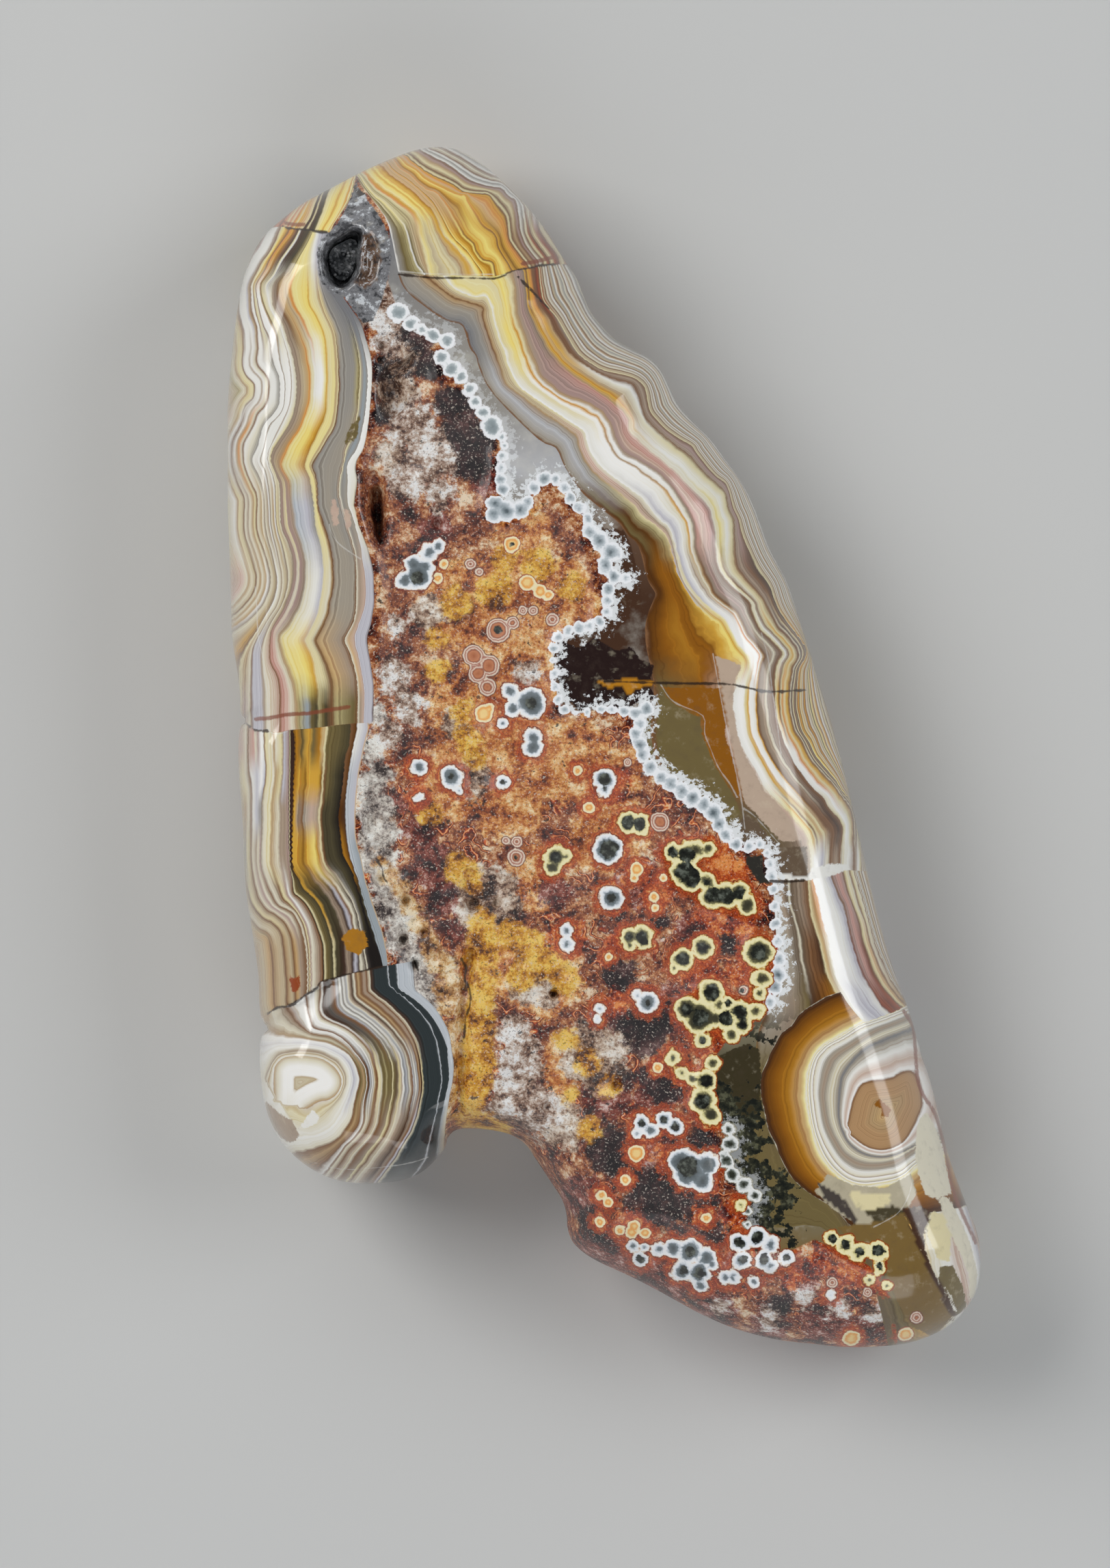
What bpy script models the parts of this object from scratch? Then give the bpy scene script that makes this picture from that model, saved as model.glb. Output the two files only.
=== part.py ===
# Polished laguna agate: a free-form slab of banded agate round a rough jasper core.
# The plan outline tapers to a blunt top, with a bay between two lobes at the bottom.
# The stone lies on a ground flat base, so +Z is up through the polished face.
# The drawing below is in millimetres and is turned into metres when a mesh is made.

import math

import bpy
import numpy as np
from mathutils import Vector
from mathutils.geometry import delaunay_2d_cdt

MM = 0.001

# Overall sizes, in millimetres.
THICKNESS = 22.0
BELT_HEIGHT = 10.5
BASE_ROUND = 5.5
DOME_DROP = 1.1
OUTLINE_STEP = 2.1
FACE_STEP = 1.40
BASE_STEP = 7.0
CORE_SINK = 0.30
CORE_LUMP = 0.20
GROOVE_DEPTH = 1.0
LEDGE_DROP = 0.55

# The pit near the top and the crust of quartz crystals that lines it.
VUG_DEPTH = 4.6
VUG_WALL = 0.8
CRUST_GAP = 0.32
CRUST_SPAN = 0.70
CRUST_THICK = 0.40
CRYSTAL_PITCH = 0.36
CRYSTAL_HEIGHT = 1.05

# Plan outline, clockwise from the left side, with the chips along the left edge.
OUTLINE = [
    (-34.3, 28), (-34.3, 31), (-34.1, 34), (-33.8, 37), (-33.4, 40), (-32.9, 42.6),
    (-32, 45), (-31, 46.6), (-29.4, 48.1), (-27.6, 49.5), (-25.6, 50.6), (-23.4, 51.8),
    (-21.4, 52.8), (-19.3, 53.7), (-17.2, 54.45), (-15.2, 54.75), (-13.4, 54.5),
    (-11.7, 53.6), (-10, 52.3), (-8.3, 50.7), (-6.7, 49), (-5.3, 47.2), (-4.2, 45.4),
    (-3.3, 44), (-2.5, 42.8), (-1.9, 41.3), (-1.2, 39.7), (-0.2, 38.4), (1.1, 37.1),
    (2.7, 36.2), (4.1, 35.5), (5.2, 34.4), (6, 32.8), (6.9, 31.1), (8.2, 29.6),
    (9.8, 28), (11.1, 26.2), (12.4, 24.4), (13.4, 22.6), (14.2, 20.6), (14.9, 18.6),
    (15.8, 16.8), (16.8, 14.8), (17.6, 12.4), (18.4, 9.9), (19.1, 7.7), (19.7, 5.6),
    (20.4, 3.4), (21, 1.3), (21.6, -0.9), (22.2, -3.3), (22.7, -5.5), (23.2, -7.7),
    (23.8, -10.2), (24.3, -12.5), (24.8, -14.6), (25.4, -16.9), (26.1, -19.3),
    (26.9, -21.6), (27.7, -23.7), (28.4, -25.9), (29, -28.1), (29.7, -30.2),
    (30.3, -32.4), (30.8, -34.6), (31.3, -36.7), (31.9, -38.6), (32.6, -40.5),
    (33.3, -42.3), (34, -44.1), (34.35, -46), (34.3, -48), (33.9, -49.8), (33, -51.3),
    (31.6, -52.7), (29.8, -53.7), (27.6, -54.4), (25, -54.7), (22, -54.75),
    (19, -54.45), (16, -54.1), (13.4, -53.5), (11, -52.7), (8.6, -51.6), (6.4, -50.4),
    (4.2, -49.2), (2, -48.1), (0, -47.2), (-1.6, -46.3), (-2.8, -45.2), (-3.3, -43.9),
    (-3.4, -42.6), (-3.8, -41.3), (-4.6, -40), (-5.4, -38.8), (-6.2, -37.6),
    (-7.1, -36.3), (-8.4, -35.4), (-10.2, -34.95), (-12, -34.8), (-13.4, -34.9),
    (-14.2, -35.6), (-14.5, -36.6), (-15.3, -37.6), (-16.5, -38.7), (-18, -39.4),
    (-20, -39.75), (-22.2, -39.8), (-24.4, -39.5), (-26.3, -38.7), (-28, -37.5),
    (-29.4, -36), (-30.4, -34.2), (-31, -32.2), (-31.3, -30), (-31.4, -27.9),
    (-31.2, -26.4), (-30.6, -25.7), (-31.1, -25), (-31.4, -23.6), (-31.5, -21),
    (-31.8, -18.6), (-32.2, -16), (-32.6, -13.4), (-32.8, -10.6), (-32.9, -7.6),
    (-33.1, -4.6), (-33.3, -1.8), (-33.3, 0.6), (-33.1, 1.9), (-32.6, 2.4),
    (-33.1, 3.1), (-33.2, 5), (-33.5, 7.4), (-33.9, 10), (-34, 13), (-34.1, 16),
    (-34.2, 19), (-34.3, 22), (-34.3, 25),
]

# How far the rounding of the upper rim reaches inward at places round the outline.
RIM_REACH = [
    (-34.3, 20, 3.8), (-34, 34, 4.2), (-32.5, 43, 5), (-28, 49.5, 6.5), (-21, 53, 7.5),
    (-14, 54.7, 8), (-4.5, 46, 6.5), (0, 38, 5.5), (7, 31, 6.5), (16, 16, 7),
    (21, 1, 7), (26, -19, 6.5), (30, -32, 6), (33.5, -43, 6), (32.5, -52, 8),
    (18, -54.4, 11), (4, -49, 9), (-3, -44.5, 6), (-5, -39.5, 4.5), (-11, -35, 3.2),
    (-15, -37.3, 3.5), (-22, -39.8, 6), (-30, -34, 5.5), (-31, -27, 4.5),
    (-32, -17, 3.8), (-33, -3, 3.6), (-33.8, 9, 3.8),
]

# The rough core, which the polish left a little lower than the agate round it.
CORE = [
    (-20.7, 38.2), (-20.6, 34), (-20.8, 30), (-22, 26), (-22.3, 22), (-21, 17.6),
    (-20.3, 14), (-20.6, 9), (-20.6, 4), (-21.9, -1), (-22.2, -6), (-21.2, -12),
    (-19.8, -17.5), (-17.6, -21.5), (-15, -24.5), (-14, -28.5), (-14.2, -33),
    (-14.4, -36), (-10, -38), (-6, -41), (-5, -46), (4, -52), (16, -57), (26, -57),
    (27, -53), (25.5, -49), (22, -46.5), (19, -44.5), (16, -47), (12.5, -47),
    (11.5, -43.5), (10.5, -40), (10.4, -36), (8.4, -33), (8.4, -30), (10.5, -27),
    (7.5, -25.5), (6.8, -23), (9, -21.8), (13, -23), (13.6, -20), (13, -18),
    (14, -16), (9, -14.3), (6, -12.5), (5.3, -9.5), (9, -8.6), (10, -7), (8.6, -5.4),
    (6, -4), (3.5, -1.5), (2.5, 1.5), (-2, 3), (-4.2, 3.2), (-4.6, 6), (-4.8, 9),
    (-3.6, 10.8), (-1, 10.8), (-0.6, 13), (-1, 16), (-2, 19), (-3.5, 21),
    (-5, 22.5), (-7, 21), (-9, 20), (-11, 21), (-10.2, 24), (-9.8, 27.5),
    (-11, 29.5), (-12.5, 32), (-15, 33.5), (-15.4, 36), (-17.5, 38.2), (-19.5, 39.5),
]

# The mouth of the crystal pit, with the brown porous shelf along its right side.
VUG_MOUTH = [
    (-25.65, 44.9), (-25.65, 44), (-25.55, 43.2), (-25.3, 42.3), (-24.8, 41.7),
    (-24.2, 41.3), (-23.6, 41.25), (-23.05, 41.55), (-22.5, 42.1), (-22.1, 42.9),
    (-21.9, 43.9), (-21.85, 44.9), (-21.65, 45.8), (-21.6, 46.5), (-22, 47),
    (-22.7, 47.15), (-23.4, 46.85), (-24.1, 46.45), (-24.75, 46.15), (-25.3, 45.6),
]
SHELF = [(-21.7, 46.4), (-22, 44.8), (-22, 43.2), (-22.6, 42), (-21.6, 41.6),
         (-20.6, 42.4), (-20.35, 44), (-20.7, 45.6), (-21.2, 46.6)]
# The long slot beside the left wall and the rough hollow above it.
SLOT = [(-21.35, 23.4), (-21.3, 21), (-20.8, 19), (-20.1, 18.1), (-19.8, 20),
        (-19.9, 23.2), (-20.5, 24)]
SLOT_BANK = [(-22.3, 25), (-22.2, 21.5), (-21.4, 18.7), (-20.4, 17.2), (-19.4, 18.4),
             (-19.2, 21), (-19.5, 24.4), (-20.8, 25.6)]
HOLLOW = [(-20.6, 33.4), (-20.7, 31.2), (-20, 29.7), (-19, 29.2), (-17.9, 30.4),
          (-17.8, 32), (-18.2, 33.4), (-17.2, 34.3), (-16.5, 35.9), (-17.2, 36.2),
          (-18.4, 35.2), (-19.8, 34.6)]
EDGE_CHIP = [(-31.4, -25.6), (-31, -24.2), (-29.7, -24), (-29.6, -24.9),
             (-30.2, -25.7), (-31, -26)]
UPPER_CHIP = [(-33.6, 3.2), (-32.4, 2.5), (-31.7, 1.7), (-32.2, 1.4), (-33.6, 1.7)]

# Each hollow: its mouth, the width of its sloping wall and its depth.
HOLLOWS = [
    (VUG_MOUTH, VUG_WALL, VUG_DEPTH), (SHELF, 0.6, 0.7), (SLOT_BANK, 0.9, 0.9),
    (SLOT, 0.5, 2.6), (HOLLOW, 0.9, 1.3), (EDGE_CHIP, 0.6, 1.0), (UPPER_CHIP, 0.5, 1.3),
]

# Pores in the tan and rusty parts of the core: x, y, radius, depth.
PORES = [
    (-20.2, 36.3, 0.4, 0.8), (-20.3, 35, 0.35, 0.9), (-15.1, 20.2, 0.5, 0.9),
    (-17.9, -14, 0.5, 1.2), (-18.2, -17.5, 0.45, 1.2), (-16.3, -16.8, 0.35, 0.8),
    (-17.1, -19.7, 0.45, 1.2), (-11.9, -14.4, 0.6, 1.1), (-9.8, -14.2, 0.4, 0.9),
    (-4.6, -22.3, 0.45, 0.9), (1.1, -30.6, 0.5, 0.9), (-5.2, -32.6, 0.5, 0.7),
]

# The groove between the lower left eye and the core.
GROOVE = [(-12.2, -18.8), (-12.5, -21), (-12.7, -23.5), (-12.8, -26), (-12.8, -28.5),
          (-13, -31), (-13.3, -33), (-13.7, -34.6), (-13.8, -36)]

# Lumps of the core: direction and tightness of each wave and its start.
LUMP_WAVES = [
    (1.15, 0.42, 0.3), (-0.38, 1.02, 1.7), (0.72, -0.88, 2.9), (0.41, 1.31, 4.1),
    (-0.29, 0.35, 0.9), (0.53, 0.17, 5.2),
]

# The step where the lower left eye has dropped below the bands above it.
STEP_LINE = [(-32, -24.6), (-30, -23.9), (-28.8, -23.6), (-27.6, -23), (-26.6, -22.2),
             (-25.3, -21.4), (-23, -20.8)]


def even_loop(points, step):
    """A closed smooth curve through the points, cut into even steps."""
    base = np.array(points, float)
    before = np.roll(base, 1, axis=0)
    after = np.roll(base, -1, axis=0)
    beyond = np.roll(base, -2, axis=0)
    pieces = []
    for t in np.linspace(0.0, 1.0, 8, endpoint=False):
        pieces.append(
            0.5 * (2 * base + (after - before) * t
                   + (2 * before - 5 * base + 4 * after - beyond) * t * t
                   + (3 * base - before - 3 * after + beyond) * t ** 3)
        )
    curve = np.stack(pieces, axis=1).reshape(-1, 2)
    closed = np.vstack([curve, curve[:1]])
    run = np.concatenate([[0.0], np.cumsum(np.hypot(*np.diff(closed, axis=0).T))])
    count = int(round(run[-1] / step))
    stations = np.linspace(0.0, run[-1], count, endpoint=False)
    return np.stack([np.interp(stations, run, closed[:, k]) for k in (0, 1)], axis=1)


def path_distance(points, path, closed):
    """How far each point lies from a polyline."""
    path = np.array(path, float)
    ends = np.roll(path, -1, axis=0) if closed else path[1:]
    starts = path if closed else path[:-1]
    best = np.full(len(points), 1e9)
    for a, b in zip(starts, ends):
        side = b - a
        along = np.clip(((points - a) @ side) / max(side @ side, 1e-12), 0.0, 1.0)
        gap = points - (a + along[:, None] * side)
        best = np.minimum(best, np.hypot(gap[:, 0], gap[:, 1]))
    return best


def inside_loop(points, loop):
    """True for the points that lie inside a closed loop."""
    x, y = points[:, 0], points[:, 1]
    loop = np.array(loop, float)
    found = np.zeros(len(points), bool)
    for (ax, ay), (bx, by) in zip(loop, np.roll(loop, -1, axis=0)):
        if ay == by:
            continue
        spans = (ay > y) != (by > y)
        found ^= spans & (x < ax + (y - ay) * (bx - ax) / (by - ay))
    return found


def depth_in(points, loop):
    """Distance from the loop, positive inside it and negative outside."""
    gap = path_distance(points, loop, True)
    return np.where(inside_loop(points, loop), gap, -gap)


def ease(t):
    """A soft step from 0 to 1."""
    t = np.clip(t, 0.0, 1.0)
    return t * t * (3.0 - 2.0 * t)


def rim_reach(points):
    """The reach of the rim rounding, blended from the stations nearby."""
    total = np.zeros(len(points))
    weight = np.zeros(len(points))
    for x, y, reach in RIM_REACH:
        share = 1.0 / ((points[:, 0] - x) ** 2 + (points[:, 1] - y) ** 2 + 1.0) ** 2
        total += share * reach
        weight += share
    return total / weight


def quarter_round(t):
    """The rise of a quarter-round from its foot at 0 to its top at 1."""
    t = np.where(t < 0.0005, 0.0, np.clip(t, 0.0, 1.0))
    return np.sqrt(1.0 - (1.0 - t) ** 2)


def core_lumps(points):
    """Slow uneven waves for the core, between -1 and 1."""
    total = np.zeros(len(points))
    for kx, ky, start in LUMP_WAVES:
        total += np.sin(kx * points[:, 0] + ky * points[:, 1] + start)
    return total / 3.2


def face_relief(points):
    """Depth of every hollow, lump, groove and ledge of the polished face."""
    x, y = points[:, 0], points[:, 1]
    core = ease(depth_in(points, CORE) / 1.2)
    porous = ease((-y - 8.0) / 6.0) * ease((4.0 - x) / 5.0)
    lumps = -CORE_SINK + CORE_LUMP * (1.0 + porous) * core_lumps(points)
    relief = core * np.minimum(lumps, -0.03)
    for mouth, wall, depth in HOLLOWS:
        relief -= depth * ease(depth_in(points, mouth) / wall)
    for px, py, radius, depth in PORES:
        relief -= depth * ease((radius * 1.4 - np.hypot(x - px, y - py)) / (radius * 0.9))
    relief -= GROOVE_DEPTH * ease((0.85 - path_distance(points, GROOVE, False)) / 0.75)
    below = inside_loop(points, STEP_LINE + [(-22, -26), (-33, -28)])
    fall = ease((-23.0 - x) / 2.5) * ease(1.0 - path_distance(points, STEP_LINE, False) / 3.2)
    return relief - LEDGE_DROP * below * fall


def face_height(points, outline):
    """Height of the polished face over each plan point."""
    x, y = points[:, 0], points[:, 1]
    top = THICKNESS - DOME_DROP * ((x / 34.0) ** 2 + (y / 55.0) ** 2) * 0.5
    rise = quarter_round(path_distance(points, outline, True) / rim_reach(points))
    height = BELT_HEIGHT + (top - BELT_HEIGHT) * rise + face_relief(points) * rise
    return np.maximum(height, BELT_HEIGHT)


def base_height(points, outline):
    """Height of the underside, which is ground flat inside its rounded edge."""
    rise = quarter_round(path_distance(points, outline, True) / BASE_ROUND)
    return BELT_HEIGHT * (1.0 - rise)


def inward_rings(outline, reach, angles):
    """Rings of points up a quarter-round, without those that another side crowds."""
    forward = np.roll(outline, -1, axis=0) - np.roll(outline, 1, axis=0)
    normal = np.stack([forward[:, 1], -forward[:, 0]], axis=1)
    normal /= np.hypot(normal[:, 0], normal[:, 1])[:, None]
    kept = []
    for angle in angles:
        setback = reach * (1.0 - math.cos(math.radians(angle)))
        ring = outline + normal * setback[:, None]
        clear = path_distance(ring, outline, True) > 0.93 * setback
        kept.append(ring[clear & inside_loop(ring, outline)])
    return kept


def thin_out(groups):
    """Joins groups of points, dropping each one that is too near an earlier one."""
    kept = np.zeros((0, 2))
    for points, gap in groups:
        for point in points:
            if len(kept) and np.min(np.hypot(*(kept - point).T)) < gap:
                continue
            kept = np.vstack([kept, point])
    return kept


def hex_grid(low, high, step):
    """A grid of points in staggered rows."""
    rows = []
    for j, y in enumerate(np.arange(low[1], high[1], step * 0.866)):
        xs = np.arange(low[0] + (j % 2) * step * 0.5, high[0], step)
        rows.append(np.stack([xs, np.full(len(xs), y)], axis=1))
    return np.vstack(rows)


def hollow_points():
    """Points on the lip and at the foot of the wall of each hollow."""
    groups = []
    for mouth, wall, _ in HOLLOWS:
        lip = even_loop(mouth, 0.85)
        for inset in (-0.05, 0.5 * wall, wall):
            side = np.roll(lip, -1, axis=0) - np.roll(lip, 1, axis=0)
            normal = np.stack([-side[:, 1], side[:, 0]], axis=1)
            normal /= np.hypot(normal[:, 0], normal[:, 1])[:, None]
            ring = lip + normal * inset
            if inset > 0:
                ring = ring[depth_in(ring, lip) > 0.9 * inset]
            groups.append((ring, 0.3))
    for x, y, radius, _ in PORES:
        turn = np.linspace(0.0, 2 * math.pi, 7)[:-1]
        ring = np.stack([x + 1.45 * radius * np.cos(turn), y + 1.45 * radius * np.sin(turn)], 1)
        groups.append((np.vstack([[(x, y)], ring]), 0.25))
    path = np.array(GROOVE)
    run = np.linspace(0, len(path) - 1, 20)
    spine = np.stack([np.interp(run, range(len(path)), path[:, k]) for k in (0, 1)], 1)
    for shift in (-0.85, 0.0, 0.85):
        groups.append((spine + (shift, 0.0), 0.5))
    return groups


def step_points():
    """Points just above and just below the ledge."""
    line = np.array(STEP_LINE)
    return [(line + (0.0, 0.12), 0.1), (line - (0.0, 0.12), 0.1)]


def triangles_over(points, outline_count):
    """Triangles that fill the outline and use all the points."""
    edges = [(k, (k + 1) % outline_count) for k in range(outline_count)]
    result = delaunay_2d_cdt([Vector(p) for p in points], edges, [], 1, 1e-6)
    return np.array([tuple(v) for v in result[0]]), [tuple(f) for f in result[2]]


def facing_up(flat, faces):
    """The same triangles, all turned counter-clockwise seen from above."""
    turned = []
    for a, b, c in faces:
        area = np.cross(flat[b] - flat[a], flat[c] - flat[a])
        turned.append((a, b, c) if area > 0 else (a, c, b))
    return turned


def join_faces(upper, upper_faces, lower, lower_faces):
    """One closed surface from an upper and a lower sheet that share their edge."""
    slots = {}
    vertices = []
    faces = []
    for sheet, sheet_faces in ((upper, upper_faces), (lower, lower_faces)):
        index = []
        for x, y, z in sheet:
            key = (round(x, 3), round(y, 3), round(z, 3))
            if key not in slots:
                slots[key] = len(vertices)
                vertices.append((x * MM, y * MM, z * MM))
            index.append(slots[key])
        for face in sheet_faces:
            corners = tuple(index[k] for k in face)
            if len(set(corners)) == 3:
                faces.append(corners)
    return vertices, faces


def new_node(name, vertices, faces, material):
    """A named object in the scene with its material."""
    mesh = bpy.data.meshes.new(name)
    mesh.from_pydata(vertices, [], faces)
    mesh.validate()
    mesh.shade_smooth()
    mesh.set_sharp_from_angle(angle=math.radians(38.0))
    mesh.materials.append(material)
    node = bpy.data.objects.new(name, mesh)
    bpy.context.scene.collection.objects.link(node)
    return node


def stone_material(name, colour, roughness):
    """A plain surface for one node."""
    material = bpy.data.materials.new(name)
    material.use_nodes = True
    shader = material.node_tree.nodes["Principled BSDF"]
    shader.inputs["Base Color"].default_value = (*colour, 1.0)
    shader.inputs["Roughness"].default_value = roughness
    return material


def build_agate():
    """The whole stone: polished face, rounded rim and flat ground base."""
    outline = even_loop(OUTLINE, OUTLINE_STEP)
    rings = inward_rings(outline, rim_reach(outline), (13, 31, 48, 66, 90))
    grid = hex_grid((-34, -54), (34, 55), FACE_STEP)
    grid = grid[inside_loop(grid, outline)]
    grid = grid[path_distance(grid, outline, True) > 0.9 * rim_reach(grid)]
    inner = [points for points, _ in hollow_points() + step_points()]
    gaps = [gap for _, gap in hollow_points() + step_points()]
    inner = [p[inside_loop(p, outline) & (path_distance(p, outline, True) > 0.5)] for p in inner]
    groups = [(outline, 0.0)] + list(zip(inner, gaps))
    groups += [(rings[0], 0.07), (rings[1], 0.4)] + [(ring, 0.8) for ring in rings[2:]]
    groups.append((grid, 1.0))
    flat, faces = triangles_over(thin_out(groups), len(outline))
    upper = np.column_stack([flat, face_height(flat, outline)])
    upper_faces = facing_up(flat, faces)

    reach = np.full(len(outline), BASE_ROUND)
    rings = inward_rings(outline, reach, (14, 36, 60, 90))
    grid = hex_grid((-34, -54), (34, 55), BASE_STEP)
    grid = grid[inside_loop(grid, outline)]
    grid = grid[path_distance(grid, outline, True) > BASE_ROUND + 1.0]
    groups = [(outline, 0.0), (rings[0], 0.1), (rings[1], 0.6)]
    groups += [(ring, 1.3) for ring in rings[2:]] + [(grid, 3.0)]
    flat, faces = triangles_over(thin_out(groups), len(outline))
    lower = np.column_stack([flat, base_height(flat, outline)])
    lower_faces = [(a, c, b) for a, b, c in facing_up(flat, faces)]

    vertices, faces = join_faces(upper, upper_faces, lower, lower_faces)
    material = stone_material("banded_agate", (0.62, 0.45, 0.33), 0.18)
    return new_node("agate", vertices, faces, material), outline


def crust_floor(points, outline, mouth):
    """Underside of the crust: the floor of the pit, set in and lifted by the gap."""
    x, y = points[:, 0], points[:, 1]
    top = THICKNESS - DOME_DROP * ((x / 34.0) ** 2 + (y / 55.0) ** 2) * 0.5
    bowl = VUG_DEPTH * ease((depth_in(points, mouth) - CRUST_GAP) / VUG_WALL)
    return top - bowl + CRUST_GAP


def crystal_seats(edge):
    """Seats for the crystals: every third point of a hexagonal net carries a tip."""
    seats = []
    tips = []
    for q in range(-14, 15):
        for r in range(-14, 15):
            x = -23.6 + CRYSTAL_PITCH * (q + 0.5 * r)
            y = 44.2 + CRYSTAL_PITCH * 0.866 * r
            seats.append((x, y))
            tips.append((q - r) % 3 == 0)
    seats = np.array(seats)
    keep = depth_in(seats, edge) > 0.16
    return seats[keep], np.array(tips)[keep]


def crust_sheets(outline):
    """Upper and lower sheet of the crust and the triangles between their points."""
    mouth = even_loop(VUG_MOUTH, 0.5)
    middle = np.array([-23.7, 44.2])
    edge = [tuple(middle + CRUST_SPAN * (np.array(p) - middle)) for p in VUG_MOUTH]
    edge = even_loop(edge, 0.42)
    seats, tips = crystal_seats(edge)
    flat, faces = triangles_over(np.vstack([edge, seats]), len(edge))
    floor = crust_floor(flat, outline, mouth)
    lift = np.full(len(flat), CRUST_THICK)
    shift = np.zeros((len(flat), 2))
    for seat, tip in zip(seats, tips):
        near = int(np.argmin(np.hypot(*(flat - seat).T)))
        turn = 12.9 * seat[0] + 7.7 * seat[1]
        if tip:
            lift[near] += CRYSTAL_HEIGHT * (0.55 + 0.45 * math.sin(turn))
            shift[near] = 0.12 * math.cos(3 * turn), 0.12 * math.sin(2 * turn)
    upper = np.column_stack([flat + shift, floor + lift])
    lower = np.column_stack([flat, floor])
    return upper, lower, facing_up(flat, faces)


def build_crystals(outline):
    """A crust of small quartz points that stands on the floor of the pit."""
    upper, lower, turned = crust_sheets(outline)
    half = len(upper)
    sides = {(face[k], face[(k + 1) % 3]) for face in turned for k in range(3)}
    walls = []
    for a, b in sorted(sides):
        if (b, a) not in sides:
            walls += [(b, a, a + half), (b, a + half, b + half)]
    faces = turned + [(a + half, c + half, b + half) for a, b, c in turned] + walls
    vertices = [tuple(v * MM) for v in np.vstack([upper, lower])]
    material = stone_material("vug_quartz", (0.50, 0.51, 0.50), 0.08)
    return new_node("vug_crystals", vertices, faces, material)


for old in list(bpy.data.objects):
    bpy.data.objects.remove(old, do_unlink=True)

agate, plan_outline = build_agate()
crystals = build_crystals(plan_outline)
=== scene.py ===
# %% [markdown]
# # A polished agate slab, lit and finished
# The real object is one natural stone. Fine bands of chalcedony grew round a rough jasper
# core, and the whole nodule was cut, rounded and polished. A small pit near the narrow top
# is lined with quartz points. The packed model gives the stone's solids, and this script
# puts a finer surface and the real colours over them. The frame is loaded first, so that
# every later piece can be measured against the solids it stands for.

# %% Load the frame
import math
import re

import bmesh
import bpy
import numpy as np
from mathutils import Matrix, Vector
from mathutils.geometry import delaunay_2d_cdt


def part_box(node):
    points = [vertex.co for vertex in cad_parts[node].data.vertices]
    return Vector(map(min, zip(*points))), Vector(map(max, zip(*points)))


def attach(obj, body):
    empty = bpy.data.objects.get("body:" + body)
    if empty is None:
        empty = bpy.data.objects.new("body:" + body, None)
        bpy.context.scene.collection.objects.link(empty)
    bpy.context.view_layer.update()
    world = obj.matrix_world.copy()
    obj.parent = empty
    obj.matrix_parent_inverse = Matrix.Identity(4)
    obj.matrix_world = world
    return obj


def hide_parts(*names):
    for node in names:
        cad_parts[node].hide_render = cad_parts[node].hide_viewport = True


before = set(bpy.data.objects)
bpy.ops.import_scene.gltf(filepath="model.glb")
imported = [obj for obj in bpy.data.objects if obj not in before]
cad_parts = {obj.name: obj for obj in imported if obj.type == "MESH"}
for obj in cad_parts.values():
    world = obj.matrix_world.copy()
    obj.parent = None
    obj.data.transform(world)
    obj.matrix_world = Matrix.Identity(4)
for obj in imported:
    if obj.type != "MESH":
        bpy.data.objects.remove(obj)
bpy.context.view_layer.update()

MM = 0.001
stone_low, stone_high = (np.array(corner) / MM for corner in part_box("agate"))
print("stone box in mm", stone_low.round(2), stone_high.round(2))

# %% [markdown]
# ## The plan of the stone
# Seen from above the slab has one smooth outline with two lobes at the foot. The drawing is
# kept in millimetres, as a lapidary would measure it. A closed smooth curve through a few
# points is easier to correct than a thousand typed points, so the curve is computed. The
# points are typed as text, in which commas join the numbers of one row. Long outlines start
# at a point and then list the step to each next one, as a surveyor would walk them, because
# steps are short to type and a part can be moved as a whole. Distances from such curves are the
# tool for nearly everything below: the rounding of the rim, the depth of the hollows and the
# place of every band of colour.

# %% Curves and distances
def drawn(text, width=2):
    """Rows of numbers from text, in which commas join the numbers of a row."""
    return np.array(text.replace(",", " ").split(), float).reshape(-1, width)


def named(text, width=2):
    """Names, each with the rows of numbers that follow it."""
    return [(name, drawn(numbers, width))
            for name, numbers in re.findall(r"([a-z_]+)([^a-z_]+)", text)]


def walk(steps):
    """Points from a first point and the step to each next one."""
    return np.round(np.cumsum(steps, axis=0), 2)


def even_loop(points, step):
    """A closed smooth curve through the points, cut into even steps."""
    before, after, beyond = (np.roll(points, shift, axis=0) for shift in (1, -1, -2))
    pieces = [0.5 * (2 * points + (after - before) * t
                     + (2 * before - 5 * points + 4 * after - beyond) * t * t
                     + (3 * points - before - 3 * after + beyond) * t ** 3)
              for t in np.linspace(0.0, 1.0, 8, endpoint=False)]
    curve = np.stack(pieces, axis=1).reshape(-1, 2)
    closed = np.vstack([curve, curve[:1]])
    run = np.concatenate([[0.0], np.cumsum(np.hypot(*np.diff(closed, axis=0).T))])
    count = int(round(run[-1] / step))
    stations = np.linspace(0.0, run[-1], count, endpoint=False)
    return np.stack([np.interp(stations, run, closed[:, k]) for k in (0, 1)], axis=1)


def path_distance(points, path, closed):
    """How far each point lies from a polyline."""
    ends = np.roll(path, -1, axis=0) if closed else path[1:]
    starts = path if closed else path[:-1]
    x, y = points[:, 0].copy(), points[:, 1].copy()
    best = np.full(len(points), 1e12)
    for (ax, ay), (bx, by) in zip(starts, ends):
        side_x, side_y = bx - ax, by - ay
        gap_x, gap_y = x - ax, y - ay
        along = (gap_x * side_x + gap_y * side_y) / max(side_x ** 2 + side_y ** 2, 1e-12)
        along = np.minimum(np.maximum(along, 0.0), 1.0)
        gap_x -= along * side_x
        gap_y -= along * side_y
        best = np.minimum(best, gap_x * gap_x + gap_y * gap_y)
    return np.sqrt(best)


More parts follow.
